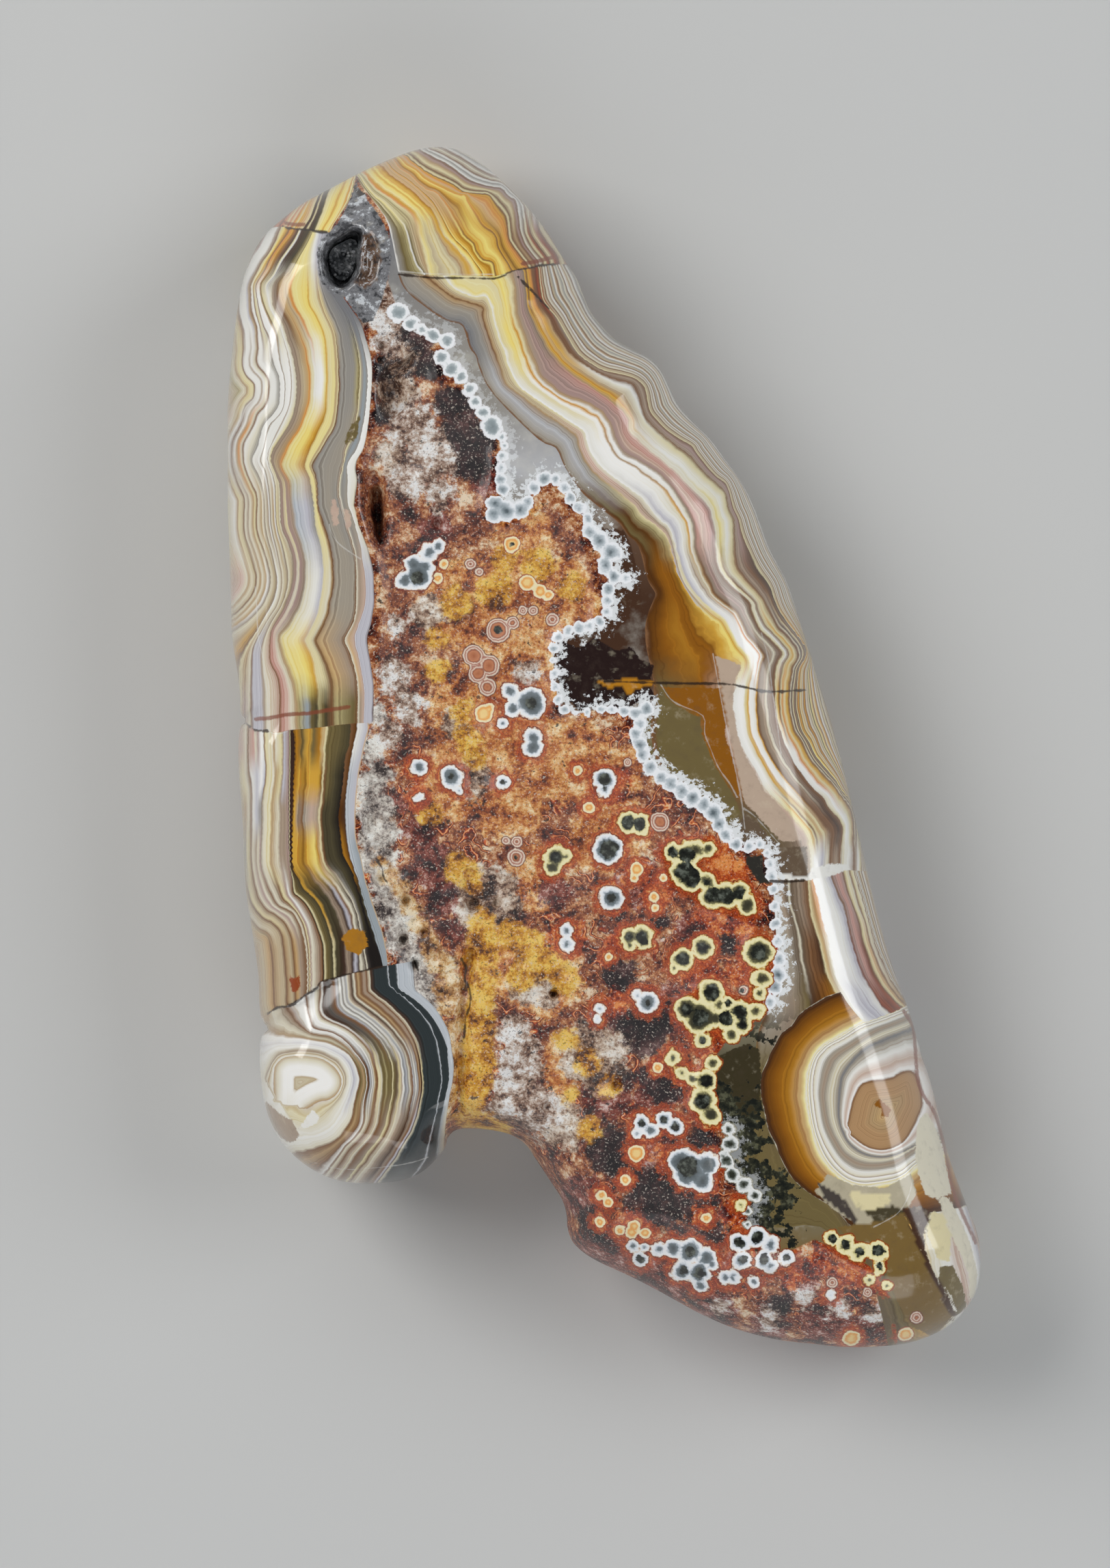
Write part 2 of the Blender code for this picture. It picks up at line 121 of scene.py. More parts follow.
def inside_loop(points, loop):
    """True for the points that lie inside a closed loop."""
    x, y = points[:, 0].copy(), points[:, 1].copy()
    found = np.zeros(len(points), bool)
    for (ax, ay), (bx, by) in zip(loop, np.roll(loop, -1, axis=0)):
        if ay == by:
            continue
        spans = (ay > y) != (by > y)
        found ^= spans & (x < ax + (y - ay) * ((bx - ax) / (by - ay)))
    return found


def depth_in(points, loop):
    """Distance from the loop, positive inside it and negative outside."""
    gap = path_distance(points, loop, True)
    return np.where(inside_loop(points, loop), gap, -gap)


def ease(t):
    """A soft step from 0 to 1."""
    t = np.clip(t, 0.0, 1.0)
    return t * t * (3.0 - 2.0 * t)


unit_square = drawn("0,0 1,0 1,1 0,1")
print("depth inside a unit square", depth_in(drawn(".5,.4"), unit_square))

# %% [markdown]
# ## Outline, rim and core
# The outline below runs clockwise from the left side, with the small chips on the left edge.
# The rim stations say how far the polisher rounded the edge inward at places round it. The
# core loop is the border of the rough jasper, which a polishing pad leaves a little lower,
# because it is softer than the chalcedony round it.

# %% Outline, rim stations and core loop
THICKNESS = 22.0
BELT_HEIGHT = 10.5
BASE_ROUND = 5.5
DOME_DROP = 1.1
CORE_SINK = 0.30
CORE_LUMP = 0.20
GROOVE_DEPTH = 1.0
LEDGE_DROP = 0.55
OUTLINE = walk(drawn("""
-34.3,28 0,3 .2,3 .3,3 .4,3 .5,2.6 .9,2.4 1,1.6 1.6,1.5 1.8,1.4 2,1.1 2.2,1.2 2,1 2.1,.9 2.1,.75
2,.3 1.8,-.25 1.7,-.9 1.7,-1.3 1.7,-1.6 1.6,-1.7 1.4,-1.8 1.1,-1.8 .9,-1.4 .8,-1.2 .6,-1.5
.7,-1.6 1,-1.3 1.3,-1.3 1.6,-.9 1.4,-.7 1.1,-1.1 .8,-1.6 .9,-1.7 1.3,-1.5 1.6,-1.6 1.3,-1.8
1.3,-1.8 1,-1.8 .8,-2 .7,-2 .9,-1.8 1,-2 .8,-2.4 .8,-2.5 .7,-2.2 .6,-2.1 .7,-2.2 .6,-2.1 .6,-2.2
.6,-2.4 .5,-2.2 .5,-2.2 .6,-2.5 .5,-2.3 .5,-2.1 .6,-2.3 .7,-2.4 .8,-2.3 .8,-2.1 .7,-2.2 .6,-2.2
.7,-2.1 .6,-2.2 .5,-2.2 .5,-2.1 .6,-1.9 .7,-1.9 .7,-1.8 .7,-1.8 .35,-1.9 -.05,-2 -.4,-1.8
-.9,-1.5 -1.4,-1.4 -1.8,-1 -2.2,-.7 -2.6,-.3 -3,-.05 -3,.3 -3,.35 -2.6,.6 -2.4,.8 -2.4,1.1
-2.2,1.2 -2.2,1.2 -2.2,1.1 -2,.9 -1.6,.9 -1.2,1.1 -.5,1.3 -.1,1.3 -.4,1.3 -.8,1.3 -.8,1.2 -.8,1.2
-.9,1.3 -1.3,.9 -1.8,.45 -1.8,.15 -1.4,-.1 -.8,-.7 -.3,-1 -.8,-1 -1.2,-1.1 -1.5,-.7 -2,-.35
-2.2,-.05 -2.2,.3 -1.9,.8 -1.7,1.2 -1.4,1.5 -1,1.8 -.6,2 -.3,2.2 -.1,2.1 .2,1.5 .6,.7 -.5,.7
-.3,1.4 -.1,2.6 -.3,2.4 -.4,2.6 -.4,2.6 -.2,2.8 -.1,3 -.2,3 -.2,2.8 0,2.4 .2,1.3 .5,.5 -.5,.7
-.1,1.9 -.3,2.4 -.4,2.6 -.1,3 -.1,3 -.1,3 -.1,3 0,3
"""))
RIM_REACH = drawn("""
-34.3,20,3.8 -34,34,4.2 -32.5,43,5 -28,49.5,6.5 -21,53,7.5 -14,54.7,8 -4.5,46,6.5 0,38,5.5
7,31,6.5 16,16,7 21,1,7 26,-19,6.5 30,-32,6 33.5,-43,6 32.5,-52,8 18,-54.4,11 4,-49,9 -3,-44.5,6
-5,-39.5,4.5 -11,-35,3.2 -15,-37.3,3.5 -22,-39.8,6 -30,-34,5.5 -31,-27,4.5 -32,-17,3.8 -33,-3,3.6
-33.8,9,3.8
""", 3)
CORE = walk(drawn("""
-20.7,38.2 .1,-4.2 -.2,-4 -1.2,-4 -.3,-4 1.3,-4.4 .7,-3.6 -.3,-5 0,-5 -1.3,-5 -.3,-5 1,-6
1.4,-5.5 2.2,-4 2.6,-3 1,-4 -.2,-4.5 -.2,-3 4.4,-2 4,-3 1,-5 9,-6 12,-5 10,0 1,4 -1.5,4 -3.5,2.5
-3,2 -3,-2.5 -3.5,0 -1,3.5 -1,3.5 -.1,4 -2,3 0,3 2.1,3 -3,1.5 -.7,2.5 2.2,1.2 4,-1.2 .6,3 -.6,2
1,2 -5,1.7 -3,1.8 -.7,3 3.7,.9 1,1.6 -1.4,1.6 -2.6,1.4 -2.5,2.5 -1,3 -4.5,1.5 -2.2,.2 -.4,2.8
-.2,3 1.2,1.8 2.6,0 .4,2.2 -.4,3 -1,3 -1.5,2 -1.5,1.5 -2,-1.5 -2,-1 -2,1 .8,3 .4,3.5 -1.2,2
-1.5,2.5 -2.5,1.5 -.4,2.5 -2.1,2.2 -2,1.3
"""))
outline = even_loop(OUTLINE, 0.42)
low, high = outline.min(axis=0), outline.max(axis=0)
outline = stone_low[:2] + (outline - low) / (high - low) * (stone_high - stone_low)[:2]
print("outline points", len(outline))

# %% [markdown]
# ## Hollows of the face
# The stone isn't perfect, and its faults are part of it: the crystal pit with a brown shelf
# on its right side, a long slot beside the left wall, a rough hollow above it, pores in the
# rusty core, a groove beside the lower eye and two chips on the left edge. Each is a closed
# loop with the width of its sloping wall and its depth, so one rule can press them all in.

# %% Hollows, pores and the ledge
VUG_MOUTH = walk(drawn("""
-25.65,44.9 0,-.9 .1,-.8 .25,-.9 .5,-.6 .6,-.4 .6,-.05 .55,.3 .55,.55 .4,.8 .2,1 .05,1 .2,.9
.05,.7 -.4,.5 -.7,.15 -.7,-.3 -.7,-.4 -.65,-.3 -.55,-.55
"""))
SHELF = walk(drawn("-21.7,46.4 -.3,-1.6 0,-1.6 -.6,-1.2 1,-.4 1,.8 .25,1.6 -.35,1.6 -.5,1"))
SLOT = drawn("-21.35,23.4 -21.3,21 -20.8,19 -20.1,18.1 -19.8,20 -19.9,23.2 -20.5,24")
SLOT_BANK = walk(drawn("-22.3,25 .1,-3.5 .8,-2.8 1,-1.5 1,1.2 .2,2.6 -.3,3.4 -1.3,1.2"))
HOLLOW = walk(drawn("""
-20.6,33.4 -.1,-2.2 .7,-1.5 1,-.5 1.1,1.2 .1,1.6 -.4,1.4 1,.9 .7,1.6 -.7,.3 -1.2,-1 -1.4,-.6
"""))
EDGE_CHIP = drawn("-31.4,-25.6 -31,-24.2 -29.7,-24 -29.6,-24.9 -30.2,-25.7 -31,-26")
UPPER_CHIP = drawn("-33.6,3.2 -32.4,2.5 -31.7,1.7 -32.2,1.4 -33.6,1.7")
VUG_DEPTH = 4.6
VUG_WALL = 0.8
HOLLOWS = [
    (VUG_MOUTH, VUG_WALL, VUG_DEPTH), (SHELF, 0.6, 0.7), (SLOT_BANK, 0.9, 0.9),
    (SLOT, 0.5, 2.6), (HOLLOW, 0.9, 1.3), (EDGE_CHIP, 0.6, 1.0), (UPPER_CHIP, 0.5, 1.3),
]
PORES = drawn("""
-20.2,36.3,.4,.8 -20.3,35,.35,.9 -15.1,20.2,.5,.9 -17.9,-14,.5,1.2 -18.2,-17.5,.45,1.2
-16.3,-16.8,.35,.8 -17.1,-19.7,.45,1.2 -11.9,-14.4,.6,1.1 -9.8,-14.2,.4,.9 -4.6,-22.3,.45,.9
1.1,-30.6,.5,.9 -5.2,-32.6,.5,.7
""", 4)
GROOVE = drawn("""
-12.2,-18.8 -12.5,-21 -12.7,-23.5 -12.8,-26 -12.8,-28.5 -13,-31 -13.3,-33 -13.7,-34.6 -13.8,-36
""")
LUMP_WAVES = drawn("""
1.15,.42,.3 -.38,1.02,1.7 .72,-.88,2.9 .41,1.31,4.1 -.29,.35,.9 .53,.17,5.2
""", 3)
STEP_LINE = walk(drawn("-32,-24.6 2,.7 1.2,.3 1.2,.6 1,.8 1.3,.8 2.3,.6"))
STEP_FOOT = drawn("-22,-26 -33,-28")
print("hollows", len(HOLLOWS), "pores", len(PORES))

# %% [markdown]
# ## Heights of the two faces
# The polished face is nearly flat, rises as a quarter round from the belt of the stone and
# carries every hollow. The same rule as in the solid is used here, so that the fine surface
# lies on the solid everywhere. The underside is ground flat inside its rounded edge.

# %% Height rules
CORE_SHOULDER = 1.2
SHALLOWEST_CORE = -0.03
WAVE_SCALE = 3.2
GROOVE_REACH, GROOVE_WALL = 0.85, 0.75
HALF_WIDTH, HALF_LENGTH = 34.0, 55.0


def rim_reach(points):
    """The reach of the rim rounding, blended from the stations nearby."""
    total = np.zeros(len(points))
    weight = np.zeros(len(points))
    for x, y, reach in RIM_REACH:
        share = 1.0 / ((points[:, 0] - x) ** 2 + (points[:, 1] - y) ** 2 + 1.0) ** 2
        total += share * reach
        weight += share
    return total / weight


def quarter_round(t):
    """The rise of a quarter-round from its foot at 0 to its top at 1."""
    t = np.where(t < 0.0005, 0.0, np.clip(t, 0.0, 1.0))
    return np.sqrt(1.0 - (1.0 - t) ** 2)


def core_lumps(points):
    """Slow uneven waves for the core, between -1 and 1."""
    total = np.zeros(len(points))
    for kx, ky, start in LUMP_WAVES:
        total += np.sin(kx * points[:, 0] + ky * points[:, 1] + start)
    return total / WAVE_SCALE


def face_relief(points):
    """Depth of every hollow, lump, groove and ledge of the polished face."""
    x, y = points[:, 0], points[:, 1]
    core = ease(depth_in(points, CORE) / CORE_SHOULDER)
    porous = ease((-y - 8.0) / 6.0) * ease((4.0 - x) / 5.0)
    lumps = -CORE_SINK + CORE_LUMP * (1.0 + porous) * core_lumps(points)
    relief = core * np.minimum(lumps, SHALLOWEST_CORE)
    for mouth, wall, depth in HOLLOWS:
        relief -= depth * ease(depth_in(points, mouth) / wall)
    for px, py, radius, depth in PORES:
        relief -= depth * ease((radius * 1.4 - np.hypot(x - px, y - py)) / (radius * 0.9))
    groove_gap = path_distance(points, GROOVE, False)
    relief -= GROOVE_DEPTH * ease((GROOVE_REACH - groove_gap) / GROOVE_WALL)
    below = inside_loop(points, np.vstack([STEP_LINE, STEP_FOOT]))
    fall = ease((-23.0 - x) / 2.5) * ease(1.0 - path_distance(points, STEP_LINE, False) / 3.2)
    return relief - LEDGE_DROP * below * fall


def face_height(points):
    """Height of the polished face over each plan point."""
    x, y = points[:, 0], points[:, 1]
    top = THICKNESS - DOME_DROP * ((x / HALF_WIDTH) ** 2 + (y / HALF_LENGTH) ** 2) * 0.5
    rise = quarter_round(path_distance(points, outline, True) / rim_reach(points))
    height = BELT_HEIGHT + (top - BELT_HEIGHT) * rise + face_relief(points) * rise
    return np.maximum(height, BELT_HEIGHT)


def base_height(points):
    """Height of the underside, which is ground flat inside its rounded edge."""
    rise = quarter_round(path_distance(points, outline, True) / BASE_ROUND)
    return BELT_HEIGHT * (1.0 - rise)


print("face height at three places", face_height(drawn("-28,20 0,-20 22,-32")).round(2))

# %% [markdown]
# ## The small eyes of the core
# The jasper is full of orbs: round growths with a pale rim, a dark glassy middle and often a
# red halo. Each is a circle here, in millimetres, and the groups differ in finish. Circles that
# overlap run together like soap bubbles, as the real growths do, because every rim is drawn
# from the distance to the whole group. They are listed before the mesh, which gets extra points
# round each of them. Each row is x, y and radius.

# %% Circles of the eyes, the lace and the dark middles
EYES = dict(named("""
white_eyes -16.8,15.4,1.3 -18,15,.9 -17.2,16.4,.9 -16.2,16.2,.8 -15.9,17.5,.85 -15,18.1,.6
-6.7,3.9,1.4 -8.6,5,.8 -8.2,3.4,.8 -9.2,2.1,.5 -6.5,.9,.9 -6.5,-.1,.9 -16.8,-1.9,.75
-13.8,-2.7,1.05 -13.1,-4,.35 -9.2,-3.2,.6 -17,-4.7,.4 -16.7,-4.6,.4 -.2,-2.9,.9 .2,-3,.9
0,-3.9,.7 .3,-9.3,1.35 .6,-13.7,1.1 0,-13.2,.5 3.9,-23.1,1 3,-22.5,.6 -3.4,-16.6,.6
-3.4,-17.9,.75 -.4,-23.7,.45 -.6,-24.6,.4 3.4,-34,.75 3,-35,.5 4.2,-34.7,.7 5.4,-33.7,.75
6.4,-34.3,.75 6.9,-37.5,1.2 7.6,-38.2,1.6 9.3,-37.7,1.1 8.9,-39.3,1 2.6,-45.3,.6 3.6,-45.4,.5
3.3,-46.5,.7 4.9,-45.5,.7 6.3,-45.4,.9 7.8,-45.7,1.2 9.2,-46.2,1 9.7,-46.9,.6 7,-47.5,1
8.6,-47.6,1.1 8.8,-48.8,.7 11,-48.1,.7 11.6,-48.1,.7 20.5,-49.7,.5 13.5,-48.4,.5 12.2,-44.9,.9
13.8,-44.3,.9 12.5,-46.5,.9 14.4,-46.5,.9 15,-47,.7 16.5,-46.2,.75 15,-45,.8
cream_eyes 2.1,-6.8,1 3.2,-7,1 -4.4,-10,1.1 -4.7,-10.9,.8 -3.5,-9.9,.6 2.2,-17.2,.9 3.4,-17.1,1
3.6,-17.6,.7 2.3,-18,.6 7.1,-19.2,1.05 8.9,-18.2,1.05 6.3,-20,.4 6.2,-9.6,.9 7.5,-9.7,1.2
8.3,-9.3,.9 7.2,-11.3,1.3 7.8,-12,1.1 9.4,-9.2,.7 9.3,-12.2,.9 9.8,-13.5,1.2 11,-13.4,1.2
12.1,-13.2,1 12.9,-14.3,.9 13.9,-18.6,1.4 14.2,-21,.9 14,-22.3,.7 9.6,-22.2,1.2 7.5,-23.8,1.2
8.6,-24.5,1.5 8.9,-26.5,.75 10.3,-23.3,.7 11.1,-23.2,.6 11,-24.6,1 12.2,-24,1 12.5,-25.2,.9
11.5,-26,.8 13.7,-23.9,.8 10,-24.6,.8 6.2,-28.1,.75 7,-29.5,.6 8,-30,.6 9.8,-28.6,.8 9.2,-30.2,1
8.9,-32,1.2 9.6,-33.3,1 20.5,-44.4,.7 21.8,-45,.9 23,-45.7,.9 24.8,-45.6,.9 24.9,-47.2,.6
24,-48.2,.5 25.5,-48.8,.5 12.3,-41.4,.5
orange_eyes -14.5,16.5,.42 -15.1,15.2,.5 -8.4,18.3,.75 -7,14.8,.7 -5.8,14,.6 -5.1,13.7,.55
-2.4,-2.2,.45 -1.4,-5.5,.55 2.9,-11.1,.6 2.7,-11.9,.4 4.8,-29,.5 2.9,-36.8,.75 1.9,-39.2,.5
-.3,-40.6,.5 .3,-41.2,.45 -.4,-43,.5 1.4,-43.8,.45 2.7,-43.4,.6 2.5,-44,.6 3.7,-44,.5
9.2,-42.6,.5 5.3,-11.9,.35 4.5,-13.6,.5 4.6,-14.6,.4 .4,-19,.4 -10.9,3,.85 -10.4,3.4,.5
22.5,-53.8,.8 27.4,-53.4,.7
ring_eyes -12.1,16.5,.5 -11.3,15.8,.4 -9.6,10.5,1.1 -8.3,11.2,.6 -6.4,12.3,.45 -7.4,12.3,.4
-4.7,11.5,.6 -8.9,-8.5,.4 -7.9,-8.6,.5 -8,-10,.8 5,-6.8,.9 12.6,-22,.45 -11.8,8.2,1 -10.4,7.3,1
-11.4,6.6,.9 -10.6,5.4,.8 2.1,-1.4,.4 20.6,-48.5,.5 23.8,-49.4,.45 28.3,-51.8,.6
dark_middles -17,15.2,.6 -6.7,3.9,.5 -13.8,-2.7,.3 -9.2,-3.2,.2 0,-3,.5 0,-3.8,.3 .4,-9.3,.8
.6,-13.7,.4 3.9,-23.1,.3 3.4,-34,.3 5.4,-33.7,.25 6.4,-34.3,.3 7.5,-38,.9 2.1,-6.8,.55 3.2,-7,.6
-4.4,-10,.5 2.2,-17.2,.3 3.4,-17.1,.45 3.6,-17.6,.3 7.1,-19.2,.55 8.9,-18.2,.5 6.2,-9.6,.5
7.5,-9.8,.8 7.3,-11.3,.9 8,-12,.6 9.3,-12.3,.35 9.8,-13.4,.7 11.1,-13.4,.7 12.2,-13.3,.5
13.9,-18.6,.7 9.6,-22.2,.7 7.5,-23.8,.5 8.6,-24.5,.7 11,-24.6,.6 12.2,-24,.55 12.5,-25.2,.4
11.1,-23.2,.3 8.9,-26.5,.3 6.2,-28.1,.2 9.2,-30.2,.5 8.9,-32,.6 3.3,-46.5,.3 7.8,-45.7,.5
7.2,-47.4,.4 8.7,-47.7,.5 12.2,-44.9,.5 13.8,-44.3,.5 12.6,-46.4,.45 14.4,-46.4,.5 16.5,-46.2,.4
20.6,-44.5,.4 21.8,-45,.5 23,-45.7,.5 24.8,-45.6,.55 24.9,-47.1,.35 12.5,-22,.25 -8.4,18.3,.2
-9.6,10.5,.3 -8,-10,.3
lace -18.6,39.3,1 -17.5,38.3,.8 -16.5,37.8,.7 -15.5,37.2,.8 -14.2,36.6,.9 -14.6,35.2,.9
-13.8,34.2,.9 -13,33.4,.8 -12.2,32.3,.8 -11.7,31.2,.7 -11,30.2,.7 -10.1,28.9,1.1 -9.2,28,.6
-9,27.2,.6 -9.2,26.3,.7 -9.3,25.2,.6 -9.4,24.2,.6 -9.2,23.2,.7 -9.9,22,.9 -10,21,.8 -8.8,21.3,1
-7.6,21.4,.9 -6.9,22.2,.7 -6.4,23.3,.7 -5.4,24.2,.7 -4.4,24.2,.6 -3.6,23.4,.6 -3.1,22.5,.6
-2.3,21.5,.6 -1.5,20.6,.6 -1.3,19.4,.8 -.4,18.6,.9 .6,17.6,1 .1,16.4,.9 .8,15.4,.8 1.9,15.3,.6
.4,14.2,.7 .3,13.2,.6 .2,12.2,.6 -.4,11.3,.6 -1.3,10.9,.6 -2.3,10.7,.6 -3.3,10.5,.6 -4.2,9.9,.6
-4.6,8.9,.5 -4.7,7.8,.5 -4.5,6.6,.5 -4.4,5.4,.5 -4.2,4.3,.5 -3.6,3.4,.5 -2.6,3,.5 -1.5,3.1,.5
-.4,3.4,.5 .7,3.4,.5 1.8,3.2,.6 2.8,3,.7 3.8,3.4,.8 3.3,2.1,.7 2.8,1.2,.7 3.1,.2,.8 3.4,-.8,.8
4.1,-1.9,.8 5,-2.8,.8 6,-3.4,.8 7,-4,.9 8,-4.6,.9 9,-5.2,.8 9.8,-6,.9 10.4,-7,.8 11,-8,.8
11.9,-8.8,.7 13,-9,.6 14,-8.9,.5 14.7,-9.6,.5 15,-10.6,.5 15.1,-11.7,.5 15.3,-13,.5 15.4,-14.4,.6
15.5,-16,.6 15.6,-17.6,.6 15.8,-19.2,.7 15.7,-20.6,.8 15.4,-21.8,.8 15,-23,.7 11.2,-34.6,.7
11.4,-36,.8 10.9,-37.4,.9 11.5,-38.7,.8 12.6,-39.6,.8 13.6,-40.6,.7 13,-42,.6 12.9,-43.2,.6
""", 3))
ROUGH_GROUND = drawn("""
-20.3,-6.5,1.6 -20.6,-9.5,1.7 -19.4,-13,1.8 -18,-16.5,2 -16.4,-20,2 -14.8,-23,1.6 -18.5,35,1.6
-18.6,32,1.8 -13.2,2,1.6 -12,-3,1.6 -10.5,-14,3 -6,-21,2.6 -1,-28,3 -4,-34,2.4 -19,26,1.8
-16,12,1.6
""", 3)
print("eyes", {name: len(group) for name, group in EYES.items()})

# %% [markdown]
# ## Old cracks and healed seams
# Pressure cracked the nodule long ago, and silica healed the cracks again. Some are dark
# with iron, others are thin pale seams. Two dark lines are painted shadow: the one along
# the step by the lower eye, which is partly the crack too, and the one in the groove beside
# the porous strip. A crack is a smooth open line here. The lines come before the mesh,
# because a thin line stays sharp only where vertices lie on it.

# %% Lines of the cracks
def growth_line(base):
    """A smooth open line through the points, long enough to leave the stone at both ends."""
    ends = [base[0] + (base[0] - base[1]) * 0.7, base[-1] + (base[-1] - base[-2]) * 0.7]
    base = np.vstack([ends[0], base, ends[1]])
    a, b, c, d = base[:-3], base[1:-2], base[2:-1], base[3:]
    pieces = [0.5 * (2 * b + (c - a) * t + (2 * a - 5 * b + 4 * c - d) * t * t
                     + (3 * b - a - 3 * c + d) * t ** 3) for t in (0.0, 1 / 3, 2 / 3)]
    return np.vstack([np.stack(pieces, axis=1).reshape(-1, 2), base[-2]])


def growth_lines(text):
    """Smooth lines from text, in which a semicolon ends each line."""
    return [growth_line(walk(drawn(part))) for part in text.split(";")]


# dark cracks; the line along the ledge step and the one in the groove are painted shadow
DARK_CRACKS_AND_SHADE_LINES = growth_lines("""
-33.4,2.4 1,-.4 .8,-.5 1.2,-.1;
-29.5,47.35 1,-.3 .7,-.1 1.1,-.15 .7,-.15 1,-.1;
-8.8,42.8 .8,.3 1.2,.2 1,.3 2.2,.3;
-18.6,42.7 2.8,-.3 3.8,-.05 2,-.05 1.2,.4;
-30.9,-24.5 1.35,.9 .95,.1 .9,.5 .7,.55 .95,.55 .45,.65 1.05,.25 1.25,.4 1.75,.4 1.55,.35;
15,-12.15 1.5,-.05 1.5,.1;
0,5.9 5,-.15 2.8,-.05 2.5,0 1.4,-.1;
11.7,5.6 1.3,-.3 2,-.35 3.3,.2;
-7.8,42.5 2.8,-2.9;
-12.9,-19.2 .4,-.9 -.15,-.9 .45,-.8 .1,-1.4 -.4,-1.2 -.2,-2;
-20.6,-10.2 .5,-.8 .1,-.8 .4,-.5;
-17.3,-19.1 .25,-.7 .25,-.5
""")
RUST_LINES = growth_lines("""
-31.6,2.5 1.4,.1 1.6,.3 1.8,.1 1.8,.3 1.9,.3;
-7.4,43.7 1.4,.3 1.5,.5;
-29.4,47.75 1.2,-.35 1,-.05;
27.2,-24 .6,-.9 .4,-.9 .2,-4.1 .6,-1.8 1.1,-1.7 .9,-3.1 .5,-3 .3,-1 .4,-1.2 1.6,-3.4
""")
PALE_LINES = growth_lines("""
-18.6,43 2.8,-.25 3.8,-.05 2,0;
-30.4,1.35 .9,-.2 .9,.25;
-31.6,14.5 .15,-1.5 .15,-3 .45,-2 .15,-2 .25,-1.5 .05,-3;
14.2,10.3 .6,-2.3 .4,-3 .3,-2 .5,-4;
12.65,-5.6 1.05,-.8 1.5,-1.7 .6,-.7;
9.8,8.4 .8,-4.4 .6,-3.1 .4,-1.9 .55,-2.6 .25,-1.4 .3,-2.5;
5.1,5.6 .7,-1.1 .9,-.7 2.2,-1 .15,-1.6 .55,-1.4 .7,-1.7 1,-1.4 .7,-1.3;
-15.8,-37.2 -2.2,-.6 -3,-.4 -3,-.1 -3,.7;
-23.9,22.6 .3,-1.7 .3,-1;
-24.85,20.1 .15,-.7 .65,-1 1.05,-.8 1,-.65;
27.9,-39 -.4,-1.65 -.9,-1.45 -1.2,-.8 -1.1,-.55
""")


def along_line(line, step):
    """Points at even steps along a line."""
    run = np.concatenate([[0.0], np.cumsum(np.hypot(*np.diff(line, axis=0).T))])
    stations = np.arange(0.0, run[-1], step)
    return np.stack([np.interp(stations, run, line[:, k]) for k in (0, 1)], axis=1)


seams = DARK_CRACKS_AND_SHADE_LINES + PALE_LINES + RUST_LINES
crack_points = np.vstack([along_line(line, 0.2) for line in seams])
print("cracks and seams", len(seams))

# %% [markdown]
# ## Points of the fine surface
# Colour bands only a fifth of a millimetre wide need a mesh that is nearly as fine. A net of
# staggered points 0.29 mm apart covers the face, and rings of points climb the rounded rim,
# close together where it is steep. Extra rings go round each small eye of the core. The net
# could be a subdivided grid, but that would leave a stepped edge, so the points are joined
# by a Delaunay triangulation, which can use any points and keeps the outline exactly.

# %% Rings, nets and noise
def inward_rings(reach, angles):
    """Rings of points that follow a quarter-round inward from the outline."""
    forward = np.roll(outline, -1, axis=0) - np.roll(outline, 1, axis=0)
    normal = np.stack([forward[:, 1], -forward[:, 0]], axis=1)
    normal /= np.hypot(normal[:, 0], normal[:, 1])[:, None]
    kept = []
    for angle in angles:
        setback = reach * (1.0 - math.cos(math.radians(angle)))
        ring = outline + normal * setback[:, None]
        clear = path_distance(ring, outline, True) > 0.97 * setback
        kept.append(ring[clear & inside_loop(ring, outline)])
    return kept


def staggered_net(step):
    """A net of points in staggered rows over the outline's box."""
    rows = []
    for j, y in enumerate(np.arange(stone_low[1], stone_high[1], step * 0.866)):
        xs = np.arange(stone_low[0] + (j % 2) * step * 0.5, stone_high[0], step)
        rows.append(np.stack([xs, np.full(len(xs), y)], axis=1))
    net = np.vstack(rows)
    return net[inside_loop(net, outline)]


def one_per_cell(points, cell):
    """Keeps the first point in each small square cell."""
    keys = np.floor(points / cell).astype(np.int64)
    _, first = np.unique(keys[:, 0] * 100003 + keys[:, 1], return_index=True)
    return points[np.sort(first)]


def grain(points, size, seed):
    """Smooth random grain between 0 and 1, with lumps of the given size."""
    table = np.random.RandomState(seed).rand(64, 64)
    spot = points / size
    cell = np.floor(spot).astype(int)
    mix = ease(spot - cell)
    a, b = cell[:, 0] % 64, cell[:, 1] % 64
    c, d = (a + 1) % 64, (b + 1) % 64
    lower = table[a, b] * (1 - mix[:, 0]) + table[c, b] * mix[:, 0]
    upper = table[a, d] * (1 - mix[:, 0]) + table[c, d] * mix[:, 0]
    return lower * (1 - mix[:, 1]) + upper * mix[:, 1]


print("grain at two places", grain(drawn("0,0 3,4"), 0.75, 3).round(3))

# %% [markdown]
# ## Where the points go
# The net of the face is fine and that of the underside coarse, because nobody looks there
# closely. Points that would lie nearly on each other are thinned to one in each small cell.
# The rings follow the rounded edge at the angles of a quarter circle, so that the steep part
# gets as many of them as the flat part.

